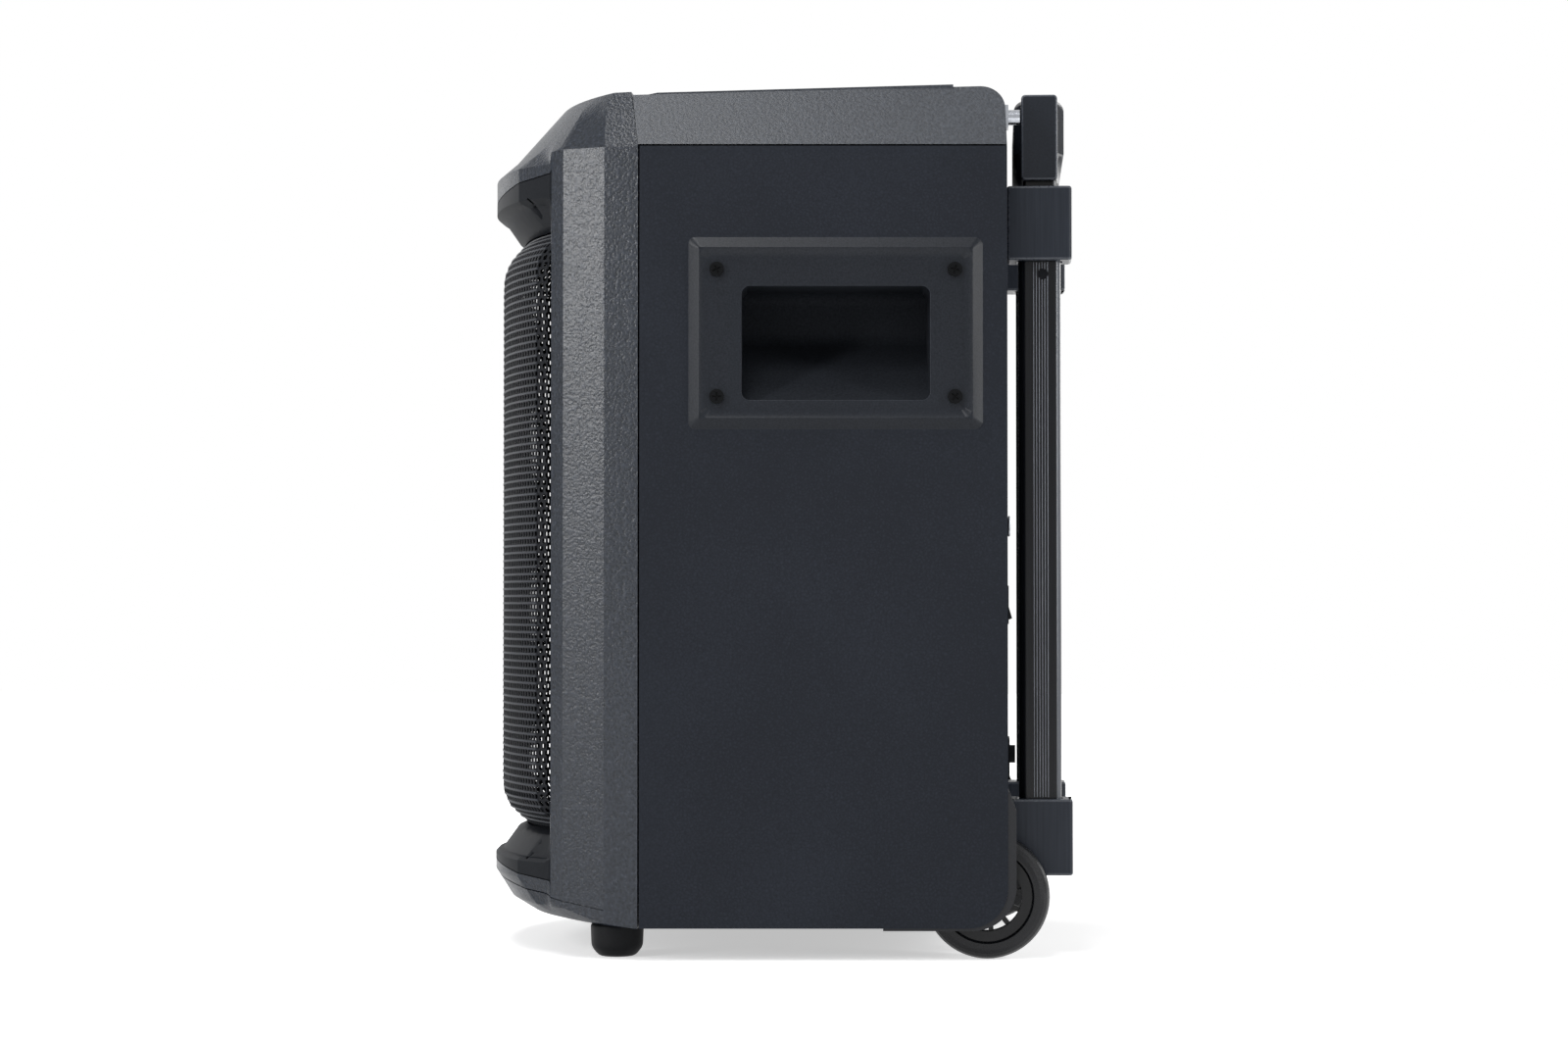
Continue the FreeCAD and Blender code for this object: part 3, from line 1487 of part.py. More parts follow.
def grip_bar_section(x):
    """Outline of the grip's bar in side view, its lower corners drawn in."""
    half = grip_bar_depth / 2
    middle = grip_bottom + grip_block_height / 2
    low = middle - grip_bar_height / 2
    high = middle + grip_bar_height / 2
    corners = [
        (tube_y - half + grip_bar_taper, low, grip_block_corner),
        (tube_y + half - grip_bar_taper, low, grip_block_corner),
        (tube_y + half, low + grip_bar_shoulder, grip_bar_corner), (tube_y + half, high, grip_bar_corner),
        (tube_y - half, high, grip_bar_corner), (tube_y - half, low + grip_bar_shoulder, grip_bar_corner),
    ]
    return rounded_wire(corners, lambda y, z: V(x, y, z))


def grip_block_section(x):
    """Outline of the grip's end blocks, with as many corners as the bar's."""
    half = grip_block_depth / 2
    low = grip_bottom
    high = grip_bottom + grip_block_height
    shoulder = low + grip_bar_shoulder
    corners = [
        (tube_y - half, low, grip_block_corner), (tube_y + half, low, grip_block_corner),
        (tube_y + half + 0.01, shoulder, grip_block_corner), (tube_y + half, high, grip_block_corner),
        (tube_y - half, high, grip_block_corner), (tube_y - half - 0.01, shoulder, grip_block_corner),
    ]
    return rounded_wire(corners, lambda y, z: V(x, y, z))


def grip():
    """Moulded grip: thick bar between the two end blocks on the inner tubes."""
    reach = grip_bar_half_length
    bar = Part.Face(grip_bar_section(-reach)).extrude(V(2 * reach, 0, 0))
    block_inner = trolley_half_spacing - grip_block_width / 2
    block = Part.Face(grip_block_section(block_inner)).extrude(V(grip_block_width, 0, 0))
    neck = Part.makeLoft([grip_bar_section(reach), grip_block_section(block_inner)], True, True)
    whole = fuse_all([bar, block, mirrored(block), neck, mirrored(neck)])
    socket = tube_block(2, grip_bottom - 1, grip_bottom + grip_socket_depth)
    return whole.cut(socket).cut(mirrored(socket)).cut(release_space())


def grip_top():
    """Height of the grip bar's top."""
    return grip_bottom + (grip_block_height + grip_bar_height) / 2


def release_block(grow, z0, z1):
    """Block of the release button's outline, made larger by grow on each side."""
    half = release_length / 2 + grow
    wide = release_width / 2 + grow
    return box(-half, half, tube_y - wide, tube_y + wide, z0, z1)


def release_space():
    """Stepped pocket in the grip's top for the release button and its foot."""
    shoulder = grip_top() - release_depth
    floor = shoulder - release_foot_thickness - release_travel - 1
    mouth = release_block(release_gap, shoulder - 1, grip_top() + 5)
    return mouth.fuse(release_block(release_foot + release_gap, floor, shoulder))


def release_button():
    """Push button that frees the telescope, held in the grip by its wide foot."""
    shoulder = grip_top() - release_depth
    cap = release_block(0.0, shoulder, grip_top() + release_proud)
    foot = release_block(release_foot, shoulder - release_foot_thickness, shoulder)
    return fuse_all([cap, foot])


# ---------------------------------------------------------------- wheels and feet

def wheel_housing():
    """Cup in the lower rear corner that carries one wheel's axle, with its outer lip."""
    reach = wheel_radius + housing_clear + housing_wall
    cup = cylinder(V(cheek_inner_x, axle_y, axle_z), ACROSS, reach, cheek_outer_x - cheek_inner_x)
    cup = cup.common(side_prism(cabinet_outline(), 0, half_width_front))
    lip = side_prism(cabinet_outline(housing_lip, housing_sole), bracket_outer_x + 1.2, half_width_front)
    lip = lip.cut(side_prism(cabinet_outline(), 0, half_width_front + 1))
    plan = [
        (bracket_outer_x + 1.2, axle_y - housing_reach, 0),
        (half_width(axle_y - housing_reach) - 0.6, axle_y - housing_reach, 0),
        (half_width(rear_y) - 0.6, rear_y, 0),
        (half_width(rear_y) - 2.2, rear_y + housing_lip + 1, 0),
        (bracket_outer_x + 1.2, rear_y + housing_lip + 1, 0),
    ]
    lip = lip.common(plan_prism(plan, 0, housing_lip_top))
    wedge = [
        (rear_y, housing_lip_top + 1, 0), (rear_y + housing_lip + 1, housing_lip_top + 1, 0),
        (rear_y + housing_lip + 1, housing_lip_top - housing_lip_chamfer, 0),
    ]
    lip = lip.cut(side_prism(wedge, 0, half_width_front))
    whole = fuse_all([cup, lip])
    space = wheel_radius + housing_clear
    cavity = cylinder(V(cheek_inner_x + housing_wall, axle_y, axle_z), ACROSS, space,
                      cheek_outer_x - cheek_inner_x - 2 * housing_wall)
    bore = cylinder(V(cheek_inner_x - 1, axle_y, axle_z), ACROSS, axle_radius, half_width_front)
    return whole.cut(cavity).cut(bore)


def wheel_axle():
    """Steel axle across one housing."""
    return cylinder(V(cheek_inner_x, axle_y, axle_z), ACROSS, axle_radius, cheek_outer_x - cheek_inner_x)


def wheel_rim():
    """Spoked rim that runs on its axle."""
    centre = V(wheel_x, axle_y, axle_z)
    half = wheel_width / 2
    ring_half = half - 2.5
    ring = tube(centre - ACROSS * ring_half, ACROSS, rim_radius, rim_radius - rim_ring, ring_half * 2)
    hub = cylinder(centre - ACROSS * half, ACROSS, hub_radius, wheel_width)
    parts = [ring, hub]
    for index in range(spoke_count):
        spoke = box(-web_half_width, web_half_width, hub_radius - 1, rim_radius - rim_ring + 1,
                    -spoke_width / 2, spoke_width / 2)
        spoke.rotate(V(0, 0, 0), ACROSS, 360 * index / spoke_count + 7)
        spoke.translate(centre)
        parts.append(spoke)
    bore = cylinder(centre - ACROSS * 20, ACROSS, axle_radius + axle_running, 40)
    return fuse_all(parts).cut(bore)


def wheel_tyre():
    """Round-section tyre on the rim."""
    centre = V(wheel_x, axle_y, axle_z)
    half = wheel_width / 2
    crown = wheel_radius - half
    profile = [(rim_radius, -half + 2.5), (rim_radius + 0.8, -half + 0.8), (crown - 1.0, -half)]
    steps = 10
    for index in range(steps + 1):
        angle = math.pi * (index / steps - 0.5)
        profile.append((crown + half * math.cos(angle), half * math.sin(angle)))
    profile += [(crown - 1.0, half), (rim_radius + 0.8, half - 0.8), (rim_radius, half - 2.5)]
    return turned(profile, centre, ACROSS, UP)


def front_foot():
    """Rubber foot under the frame."""
    centre = V(foot_x, nose_y + foot_back, 0)
    profile = [
        (0, 0), (foot_sole_radius, 0), (foot_low_radius, foot_chamfer),
        (foot_top_radius, cabinet_bottom), (0, cabinet_bottom),
    ]
    return turned(profile, centre, UP, ACROSS)


# ---------------------------------------------------------------- battery and supply

def battery_pack():
    """Battery on the bottom board."""
    front = seam_y + battery_back
    floor = cabinet_bottom + board
    corners = rectangle(-battery_length / 2, battery_length / 2, front, front + battery_width, 4.0)
    return plan_prism(corners, floor, floor + battery_height)


def power_supply():
    """Boxed supply on the rear board's inner face."""
    half = supply_width / 2
    return box(-half, half, inner_rear_y - supply_depth, inner_rear_y,
               supply_bottom, supply_bottom + supply_height)


# ---------------------------------------------------------------- nodes

def build_nodes():
    """Every node's name and shape."""
    right_board = side_board()
    right_handle = pocket_handle()
    right_housing = wheel_housing()
    right_rim = wheel_rim()
    right_tyre = wheel_tyre()
    nodes = {
        "side_panel_right": right_board,
        "side_panel_left": mirrored(right_board),
        "bottom_panel": bottom_board(),
        "rear_panel": rear_board(),
        "baffle_board": baffle(),
        "front_frame": front_frame(),
        "upper_bumper": upper_bumper(),
        "lower_bumper": lower_bumper(),
        "grille": grille(),
        "top_cover": top_cover(),
        "control_panel": control_panel(),
        "display_window": display_window(),
        "main_board": main_board(),
        "woofer_basket": woofer_basket(),
        "woofer_magnet": woofer_magnet(),
        "woofer_cone": woofer_cone(),
        "woofer_surround": woofer_surround(),
        "voice_coil": voice_coil(),
        "woofer_dust_cap": woofer_dust_cap(),
        "light_ring": light_ring(),
        "tweeter_horns": Part.makeCompound([tweeter_horn(-1), tweeter_horn(1)]),
        "tweeter_drivers": Part.makeCompound([tweeter_driver(-1), tweeter_driver(1)]),
        "driver_screws": driver_screws(),
        "bass_port": bass_port(),
        "pocket_handle_right": right_handle,
        "pocket_handle_left": mirrored(right_handle),
        "case_screws": case_screws(),
        "jack_plate": jack_plate(),
        "microphone_jacks": microphone_jacks(),
        "aux_jack": aux_jack(),
        "usb_socket": usb_socket(),
        "mains_inlet": mains_inlet(),
        "rocker_bezel": rocker_bezel(),
        "rocker_switch": rocker_switch(),
        "antenna_socket": antenna_socket(),
        "outer_tubes": outer_tubes(),
        "middle_tubes": middle_tubes(),
        "inner_tubes": inner_tubes(),
        "lower_brackets": lower_brackets(),
        "upper_brackets": upper_brackets(),
        "grip": grip(),
        "release_button": release_button(),
        "wheel_housing_right": right_housing,
        "wheel_housing_left": mirrored(right_housing),
        "wheel_axles": both_sides(wheel_axle()),
        "rim_right": right_rim,
        "rim_left": mirrored(right_rim),
        "tyre_right": right_tyre,
        "tyre_left": mirrored(right_tyre),
        "front_feet": both_sides(front_foot()),
        "battery_pack": battery_pack(),
        "power_supply": power_supply(),
    }
    for name, x, y in button_places():
        nodes[name] = button(x, y)
    for name, radius, x, y in knob_places():
        nodes[name] = knob(radius, x, y)
    return nodes


def main():
    """Write one STEP file for each node."""
    os.makedirs("parts", exist_ok=True)
    for name, shape in build_nodes().items():
        shape.exportStep("parts/" + name + ".step")
        bounds = shape.BoundBox
        print(name, len(shape.Solids), shape.isValid(), round(shape.Volume),
              [round(value, 1) for value in (bounds.XMin, bounds.XMax, bounds.YMin, bounds.YMax,
                                             bounds.ZMin, bounds.ZMax)])


main()
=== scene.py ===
"""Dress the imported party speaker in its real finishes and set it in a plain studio.

Lengths are in metres, except where a comment says millimetres. They lie in the frame of
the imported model: +Z is up, -Y points out of the grille and +X is the speaker's right.
"""

import json
import logging
import math
from contextlib import contextmanager
from dataclasses import dataclass, field
from enum import Enum
from typing import Callable, Iterable, Iterator, Optional

import bpy
from mathutils import Matrix, Vector

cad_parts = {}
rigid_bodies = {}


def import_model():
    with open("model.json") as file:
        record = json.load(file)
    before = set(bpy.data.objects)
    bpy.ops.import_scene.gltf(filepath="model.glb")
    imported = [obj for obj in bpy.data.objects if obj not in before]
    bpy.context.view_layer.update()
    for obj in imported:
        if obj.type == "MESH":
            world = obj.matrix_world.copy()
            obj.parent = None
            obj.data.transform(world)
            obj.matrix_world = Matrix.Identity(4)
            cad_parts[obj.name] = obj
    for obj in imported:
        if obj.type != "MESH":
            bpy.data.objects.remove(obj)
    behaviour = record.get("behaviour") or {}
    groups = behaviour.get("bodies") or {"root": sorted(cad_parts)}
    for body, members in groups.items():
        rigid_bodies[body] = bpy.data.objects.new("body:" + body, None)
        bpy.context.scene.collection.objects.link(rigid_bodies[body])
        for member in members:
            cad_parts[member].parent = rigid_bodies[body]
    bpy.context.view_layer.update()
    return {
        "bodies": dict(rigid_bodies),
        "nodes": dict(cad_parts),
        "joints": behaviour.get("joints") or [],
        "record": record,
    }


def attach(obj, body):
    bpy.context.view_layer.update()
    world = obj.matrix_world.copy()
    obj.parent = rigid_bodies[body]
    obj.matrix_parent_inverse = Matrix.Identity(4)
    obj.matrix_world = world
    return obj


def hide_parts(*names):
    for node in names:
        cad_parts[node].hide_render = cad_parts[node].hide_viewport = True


LOG = logging.getLogger("party_speaker")
MM = 0.001
SPEAKER = "speaker"
# Vertices closer than this are one, and a cutting plane takes vertices this near to it.
WELD = 2e-6
ON_PLANE = 1e-7
# Faces that meet within this angle are one flat face, and large faces rule the shading.
FLAT_DEGREES = 0.6
NORMAL_WEIGHT = 80
# Every finish: spread of the roughness, roughness of the clear gloss, size of the colour's
# drift, the heights where the ramp starts and ends, and the facing where the gloss fades.
ROUGHNESS_SPREAD = 0.06
COAT_ROUGHNESS = 0.08
CLOUD_SIZE = 90 * MM
RAMP_ENDS = (0.3, 0.7)
FADE_ENDS = (0.2, 0.6)


# ------------------------------------------------------------------ shader helpers

def linear(hex_colour: str) -> tuple[float, float, float, float]:
    """Turn an sRGB hex colour into the linear colour that shaders use.

    Args:
        hex_colour: six hex digits with a leading hash.

    Returns:
        Linear red, green, blue and an alpha of one.
    """
    channels = [int(hex_colour[i:i + 2], 16) / 255 for i in (1, 3, 5)]
    made = [c / 12.92 if c <= 0.04045 else ((c + 0.055) / 1.055) ** 2.4 for c in channels]
    return made[0], made[1], made[2], 1.0


def add_node(tree: bpy.types.NodeTree, kind: str, inputs: Optional[dict] = None,
             **settings: object) -> bpy.types.Node:
    """Add a node with its settings, input values and links.

    Args:
        tree: node tree that takes the node.
        kind: node type name.
        inputs: input name or index, to a value or to the output socket that feeds it.
        **settings: properties of the node itself.

    Returns:
        The new node.
    """
    node = tree.nodes.new(kind)
    for key, value in settings.items():
        setattr(node, key, value)
    for key, value in (inputs or {}).items():
        if isinstance(value, bpy.types.NodeSocket):
            tree.links.new(value, node.inputs[key])
        else:
            node.inputs[key].default_value = value
    return node


def scale_for(size: float) -> float:
    """Texture scale whose pattern repeats about once in a real size.

    Args:
        size: the real size.

    Returns:
        The scale for a texture node.
    """
    return 1.0 / size


class Grain(Enum):
    """How a surface's relief was made."""

    SPARK = "spark-eroded mould texture"
    LEATHER = "embossed leatherette"
    SATIN = "fine blasted mould"
    BRUSHED = "drawn or brushed lines"
    PAPER = "pulp fibres"


@dataclass(frozen=True)
class Finish:
    """A real material with its surface, made as one shader.

    Attributes:
        name: common name of the material and finish.
        dark: colour in the grain's hollows.
        light: colour on the grain's crests.
        grain: kind of relief.
        grain_size: real size of one grain.
        relief: height of the relief.
        roughness: mean roughness of the surface.
        specular: specular level of the surface.
        metallic: one for bare metal.
        coat: thickness of a clear gloss on top.
        cloud: how much the colour drifts over a hand's breadth.
        grazing: share of the gloss that a rough grain leaves at grazing angles.
        direction: axis along which brushed lines run.
    """

    name: str
    dark: str
    light: str
    grain: Grain = Grain.SATIN
    grain_size: float = 0.9 * MM
    relief: float = 0.05 * MM
    roughness: float = 0.5
    specular: float = 0.5
    metallic: float = 0.0
    coat: float = 0.0
    cloud: float = 0.25
    grazing: float = 1.0
    direction: tuple[float, float, float] = (1.0, 1.0, 0.02)

    def pattern(self, tree: bpy.types.NodeTree) -> bpy.types.NodeSocket:
        """Build the relief's height.

        Args:
            tree: the material's node tree.

        Returns:
            Socket with the height from zero to one.
        """
        place = add_node(tree, "ShaderNodeTexCoord").outputs["Object"]
        scale = scale_for(self.grain_size)
        if self.grain is Grain.BRUSHED:
            turned = add_node(tree, "ShaderNodeMapping",
                              {"Vector": place, "Scale": self.direction})
            return add_node(tree, "ShaderNodeTexNoise", {
                "Vector": turned.outputs[0], "Scale": scale, "Detail": 4.0}).outputs["Fac"]
        if self.grain is Grain.PAPER:
            fibre = add_node(tree, "ShaderNodeTexNoise", {
                "Vector": place, "Scale": scale, "Detail": 8.0, "Roughness": 0.7,
                "Distortion": 1.5})
            return fibre.outputs["Fac"]
        fine = add_node(tree, "ShaderNodeTexNoise", {
            "Vector": place, "Scale": scale, "Detail": 2.0, "Roughness": 0.55})
        if self.grain is Grain.SATIN:
            return fine.outputs["Fac"]
        feature = "SMOOTH_F1" if self.grain is Grain.SPARK else "DISTANCE_TO_EDGE"
        warped = add_node(tree, "ShaderNodeVectorMath", {
            0: place, 1: add_node(tree, "ShaderNodeVectorMath", {
                0: fine.outputs["Color"],
                1: (self.grain_size * 0.8,) * 3}, operation="MULTIPLY").outputs[0]},
            operation="ADD")
        cells = add_node(tree, "ShaderNodeTexVoronoi", {
            "Vector": warped.outputs[0], "Scale": scale * 0.7}, feature=feature)
        blend = add_node(tree, "ShaderNodeMix", {
            "Factor": 0.5, "A": fine.outputs["Fac"], "B": cells.outputs["Distance"]},
            data_type="FLOAT")
        return blend.outputs[0]

    def colour(self, tree: bpy.types.NodeTree,
               height: bpy.types.NodeSocket) -> bpy.types.NodeSocket:
        """Build the colour from the relief and a slow drift over the surface.

        Args:
            tree: the material's node tree.
            height: relief from pattern().

        Returns:
            Socket with the surface colour.
        """
        place = add_node(tree, "ShaderNodeTexCoord").outputs["Object"]
        drift = add_node(tree, "ShaderNodeTexNoise", {
            "Vector": place, "Scale": scale_for(CLOUD_SIZE), "Detail": 2.0})
        mixed = add_node(tree, "ShaderNodeMix", {
            "Factor": self.cloud, "A": height, "B": drift.outputs["Fac"]}, data_type="FLOAT")
        ramp = add_node(tree, "ShaderNodeValToRGB", {"Fac": mixed.outputs[0]})
        for stop, place, colour in zip(ramp.color_ramp.elements, RAMP_ENDS,
                                       (self.dark, self.light)):
            stop.position = place
            stop.color = linear(colour)
        return ramp.outputs["Color"]

    def material(self) -> bpy.types.Material:
        """Make the material, or return it if it is made.

        Returns:
            The Blender material.
        """
        made = bpy.data.materials.get(self.name)
        if made is not None:
            return made
        made = bpy.data.materials.new(self.name)
        made.use_nodes = True
        tree = made.node_tree
        tree.nodes.clear()
        height = self.pattern(tree)
        rough = add_node(tree, "ShaderNodeMapRange", {
            "Value": height, "To Min": self.roughness - ROUGHNESS_SPREAD,
            "To Max": self.roughness + ROUGHNESS_SPREAD})
        bump = add_node(tree, "ShaderNodeBump", {
            "Height": height, "Strength": 1.0, "Distance": self.relief})
        shader = add_node(tree, "ShaderNodeBsdfPrincipled", {
            "Base Color": self.colour(tree, height), "Roughness": rough.outputs[0],
            "Normal": bump.outputs[0], "Metallic": self.metallic,
            "Specular IOR Level": self.specular, "Coat Weight": self.coat,
            "Coat Roughness": COAT_ROUGHNESS})
        if self.grazing < 1.0:
            facing = add_node(tree, "ShaderNodeLayerWeight", {"Blend": 0.5})
            level = add_node(tree, "ShaderNodeMapRange", {
                "Value": facing.outputs["Facing"], "From Min": FADE_ENDS[0],
                "From Max": FADE_ENDS[1],
                "To Min": self.specular, "To Max": self.specular * self.grazing})
            tree.links.new(level.outputs[0], shader.inputs["Specular IOR Level"])
        add_node(tree, "ShaderNodeOutputMaterial", {"Surface": shader.outputs[0]})
        return made


# ------------------------------------------------------------------ finishes

# PVC leatherette on fibreboard: soft low sheen, small even pebbles.
LEATHERETTE = Finish("charcoal_pvc_leatherette", "#181b21", "#262a32", Grain.LEATHER,
                     1.5 * MM, 0.12 * MM, 0.6, 0.12, cloud=0.3, grazing=0.2)
# Spark-eroded ABS: fine sparkle in the lamps' reflection, dull where it is seen edge on.
TEXTURED_ABS = Finish("spark_textured_graphite_abs", "#161a20", "#2e333c", Grain.SPARK,
                      1.25 * MM, 0.30 * MM, 0.26, 0.32, cloud=0.06, grazing=0.08)
# The top cover's ABS: the same plastic with a shallower texture.
COVER_ABS = Finish("fine_textured_graphite_abs", "#25282d", "#3c4047", Grain.SPARK,
                   1.3 * MM, 0.22 * MM, 0.4, 0.28, cloud=0.15)
# Blasted ABS: smooth to the hand, soft highlights.
SATIN_ABS = Finish("blasted_graphite_abs", "#141619", "#1c1e22", Grain.SATIN,
                   1.1 * MM, 0.03 * MM, 0.42, 0.08, grazing=0.15)
# Glossier ABS of the wheel housings.
HOUSING_ABS = Finish("satin_black_housing_abs", "#131417", "#1c1d21", Grain.SATIN,
                     1.1 * MM, 0.03 * MM, 0.36, 0.25)
# Blasted ABS of the handles, a lighter finish on their edges as a painted highlight, and a rough,
# duller finish in their pockets as painted shade.
HANDLE_ABS = Finish("blasted_handle_abs", "#15181d", "#22252b", Grain.SATIN,
                    1.1 * MM, 0.06 * MM, 0.32, 0.15, grazing=0.5)
HANDLE_EDGE_HIGHLIGHT = Finish("painted_highlight_handle_abs_edge", "#2b2f36", "#3a3e46", Grain.SATIN,
                     1.1 * MM, 0.05 * MM, 0.34, 0.25)
HANDLE_POCKET_SHADE = Finish("painted_shade_pocket_abs", "#181a1e", "#24272c", Grain.SATIN,
                       1.3 * MM, 0.10 * MM, 0.6, 0.05)
# Glass-filled nylon: hard-wearing, faint vertical flow sheen.
BRACKET_NYLON = Finish("glass_filled_nylon", "#21252c", "#2c3038", Grain.BRUSHED,
                       1.6 * MM, 0.02 * MM, 0.36, 0.16, direction=(1.0, 1.0, 0.03))
# Finer nylon of the grip.
GRIP_NYLON = Finish("satin_grip_nylon", "#14171d", "#1c2027", Grain.SATIN,
                    1.2 * MM, 0.02 * MM, 0.34, 0.2)
# Lighter finish on moulded edges: a painted highlight where the lamps catch the rounded edges.
NYLON_EDGE_HIGHLIGHT = Finish("painted_highlight_nylon_edge", "#34383f", "#464a52", Grain.SATIN,
                    1.2 * MM, 0.01 * MM, 0.28, 0.3)
# Powder-coated steel: even fine orange peel.
GRILLE_COAT = Finish("black_powder_coated_steel", "#101114", "#191b1f", Grain.SATIN,
                     0.9 * MM, 0.03 * MM, 0.45, 0.1, grazing=0.15)
# The same coat on the ribs, painted lighter as the highlight along their crests.
RIB_HIGHLIGHT_COAT = Finish("painted_highlight_powder_coated_steel", "#26282d", "#33363c", Grain.SATIN,
                  0.9 * MM, 0.03 * MM, 0.42, 0.1, grazing=0.3)
# Panel, buttons and knobs: matt plate, satin keys, soft rubber. The plate's black also serves as
# painted shade in the tubes' lock holes and round the handles' screws.
PANEL_BLACK_AND_SHADE = Finish("matt_black_panel_abs", "#0c0d0f", "#15161a", Grain.SATIN,
                     0.8 * MM, 0.03 * MM, 0.48, 0.08, grazing=0.5)
BUTTON_ABS = Finish("satin_button_abs", "#1a1b1e", "#242629", Grain.SATIN,
                    0.8 * MM, 0.02 * MM, 0.36, 0.25)
KNOB_RUBBER = Finish("soft_touch_knob_rubber", "#101113", "#1b1c1f", Grain.SATIN,
                     0.9 * MM, 0.04 * MM, 0.5, 0.18)
# Polyurethane tyre: dense, with a soft moulded gloss.
TYRE_PU = Finish("polyurethane_tyre", "#0c0d0f", "#15161a", Grain.SATIN,
                 1.4 * MM, 0.02 * MM, 0.28, 0.25)
# Rims and feet.
RIM_NYLON = Finish("black_nylon_rim", "#0b0c0d", "#141518", Grain.SATIN,
                   1.0 * MM, 0.02 * MM, 0.34, 0.25)
FOOT_RUBBER = Finish("moulded_foot_rubber", "#0b0c0d", "#141518", Grain.SATIN,
                     1.0 * MM, 0.04 * MM, 0.5, 0.12)
# Anodised aluminium: metallic with fine lines along the extrusion.
ANODISED = Finish("black_anodised_aluminium", "#07080b", "#101217", Grain.BRUSHED,
                  0.8 * MM, 0.01 * MM, 0.24, 0.2, direction=(1.0, 1.0, 0.01))
# The same tube with painted highlights: a lighter colour on the rear corners and on the ribs,
# where the lamps' reflection runs along them.
ANODISED_CORNER_HIGHLIGHT = Finish("painted_highlight_anodised_corner", "#3c4047", "#54585f", Grain.BRUSHED,
                         0.8 * MM, 0.01 * MM, 0.24, 0.4, direction=(1.0, 1.0, 0.01))
ANODISED_RIB_HIGHLIGHT = Finish("painted_highlight_anodised_ribs", "#62656d", "#8b8f97", Grain.BRUSHED,
                       0.8 * MM, 0.01 * MM, 0.3, 0.5, 0.2, direction=(1.0, 1.0, 0.01))
# Plated and oxidised steel of the small fittings.
CHROME = Finish("polished_chrome_plate", "#8f9298", "#b2b5bb", Grain.BRUSHED,
                1.0 * MM, 0.004 * MM, 0.14, 0.5, 1.0, direction=(0.05, 1.0, 1.0))
ZINC_STEEL = Finish("zinc_plated_steel", "#8d9095", "#b4b7bc", Grain.BRUSHED,
                    0.7 * MM, 0.01 * MM, 0.3, 0.5, 1.0, direction=(1.0, 0.2, 1.0))
BLACK_STEEL = Finish("black_oxide_steel", "#060708", "#101113", Grain.SATIN,
                     0.7 * MM, 0.02 * MM, 0.3, 0.08)
# Bare fibreboard of the baffle.
FIBREBOARD = Finish("raw_fibreboard", "#1a1613", "#26211c", Grain.PAPER,
                    1.2 * MM, 0.05 * MM, 0.8, 0.1)
# Drivers: pressed pulp, rubber roll, painted steel, ferrite, light ring and horns.
CONE_PAPER = Finish("pressed_cone_paper", "#0f0f11", "#1d1d20", Grain.PAPER,
                    1.2 * MM, 0.12 * MM, 0.75, 0.15)
SURROUND_RUBBER = Finish("butyl_rubber_surround", "#0b0b0c", "#141415", Grain.SATIN,
                         0.9 * MM, 0.03 * MM, 0.42, 0.2)
DRIVER_STEEL = Finish("black_painted_pressed_steel", "#101113", "#1b1c1f", Grain.SATIN,
                      0.8 * MM, 0.02 * MM, 0.38, 0.25)
FERRITE = Finish("sintered_ferrite", "#1a1a1b", "#2b2b2d", Grain.PAPER,
                 0.9 * MM, 0.06 * MM, 0.6, 0.2)
DIFFUSER = Finish("opal_polycarbonate", "#a6a9ad", "#bfc2c6", Grain.SATIN,
                  1.0 * MM, 0.02 * MM, 0.4, 0.3)
HORN_ABS = Finish("satin_black_horn_abs", "#0d0d0f", "#161619", Grain.SATIN,
                  0.9 * MM, 0.03 * MM, 0.4, 0.2)
# Inside: coil wire, circuit board, window, battery and supply.
COPPER = Finish("enamelled_copper_wire", "#7a3d1d", "#b3683a", Grain.BRUSHED,
                0.4 * MM, 0.02 * MM, 0.3, 0.5, 1.0, direction=(0.05, 1.0, 0.05))
SOLDER_MASK = Finish("green_solder_mask", "#0c3318", "#12491f", Grain.SATIN,
                     1.0 * MM, 0.02 * MM, 0.35, 0.3)
SMOKED_ACRYLIC = Finish("smoked_acrylic_window", "#050607", "#0a0b0e", Grain.SATIN,
                        1.0 * MM, 0.002 * MM, 0.1, 0.5, grazing=0.4)
SHRINK_WRAP = Finish("blue_shrink_wrap", "#123a6b", "#1c4f8c", Grain.SATIN,
                     1.6 * MM, 0.05 * MM, 0.3, 0.3)
SUPPLY_CASE = Finish("grey_supply_case", "#2d2e30", "#3a3b3e", Grain.SATIN,
                     1.0 * MM, 0.03 * MM, 0.5, 0.2)
# Pad-printed ink of the scales and symbols.
INK = Finish("white_pad_print", "#b9bbbe", "#d2d4d7", Grain.SATIN,
             0.6 * MM, 0.005 * MM, 0.5, 0.2)

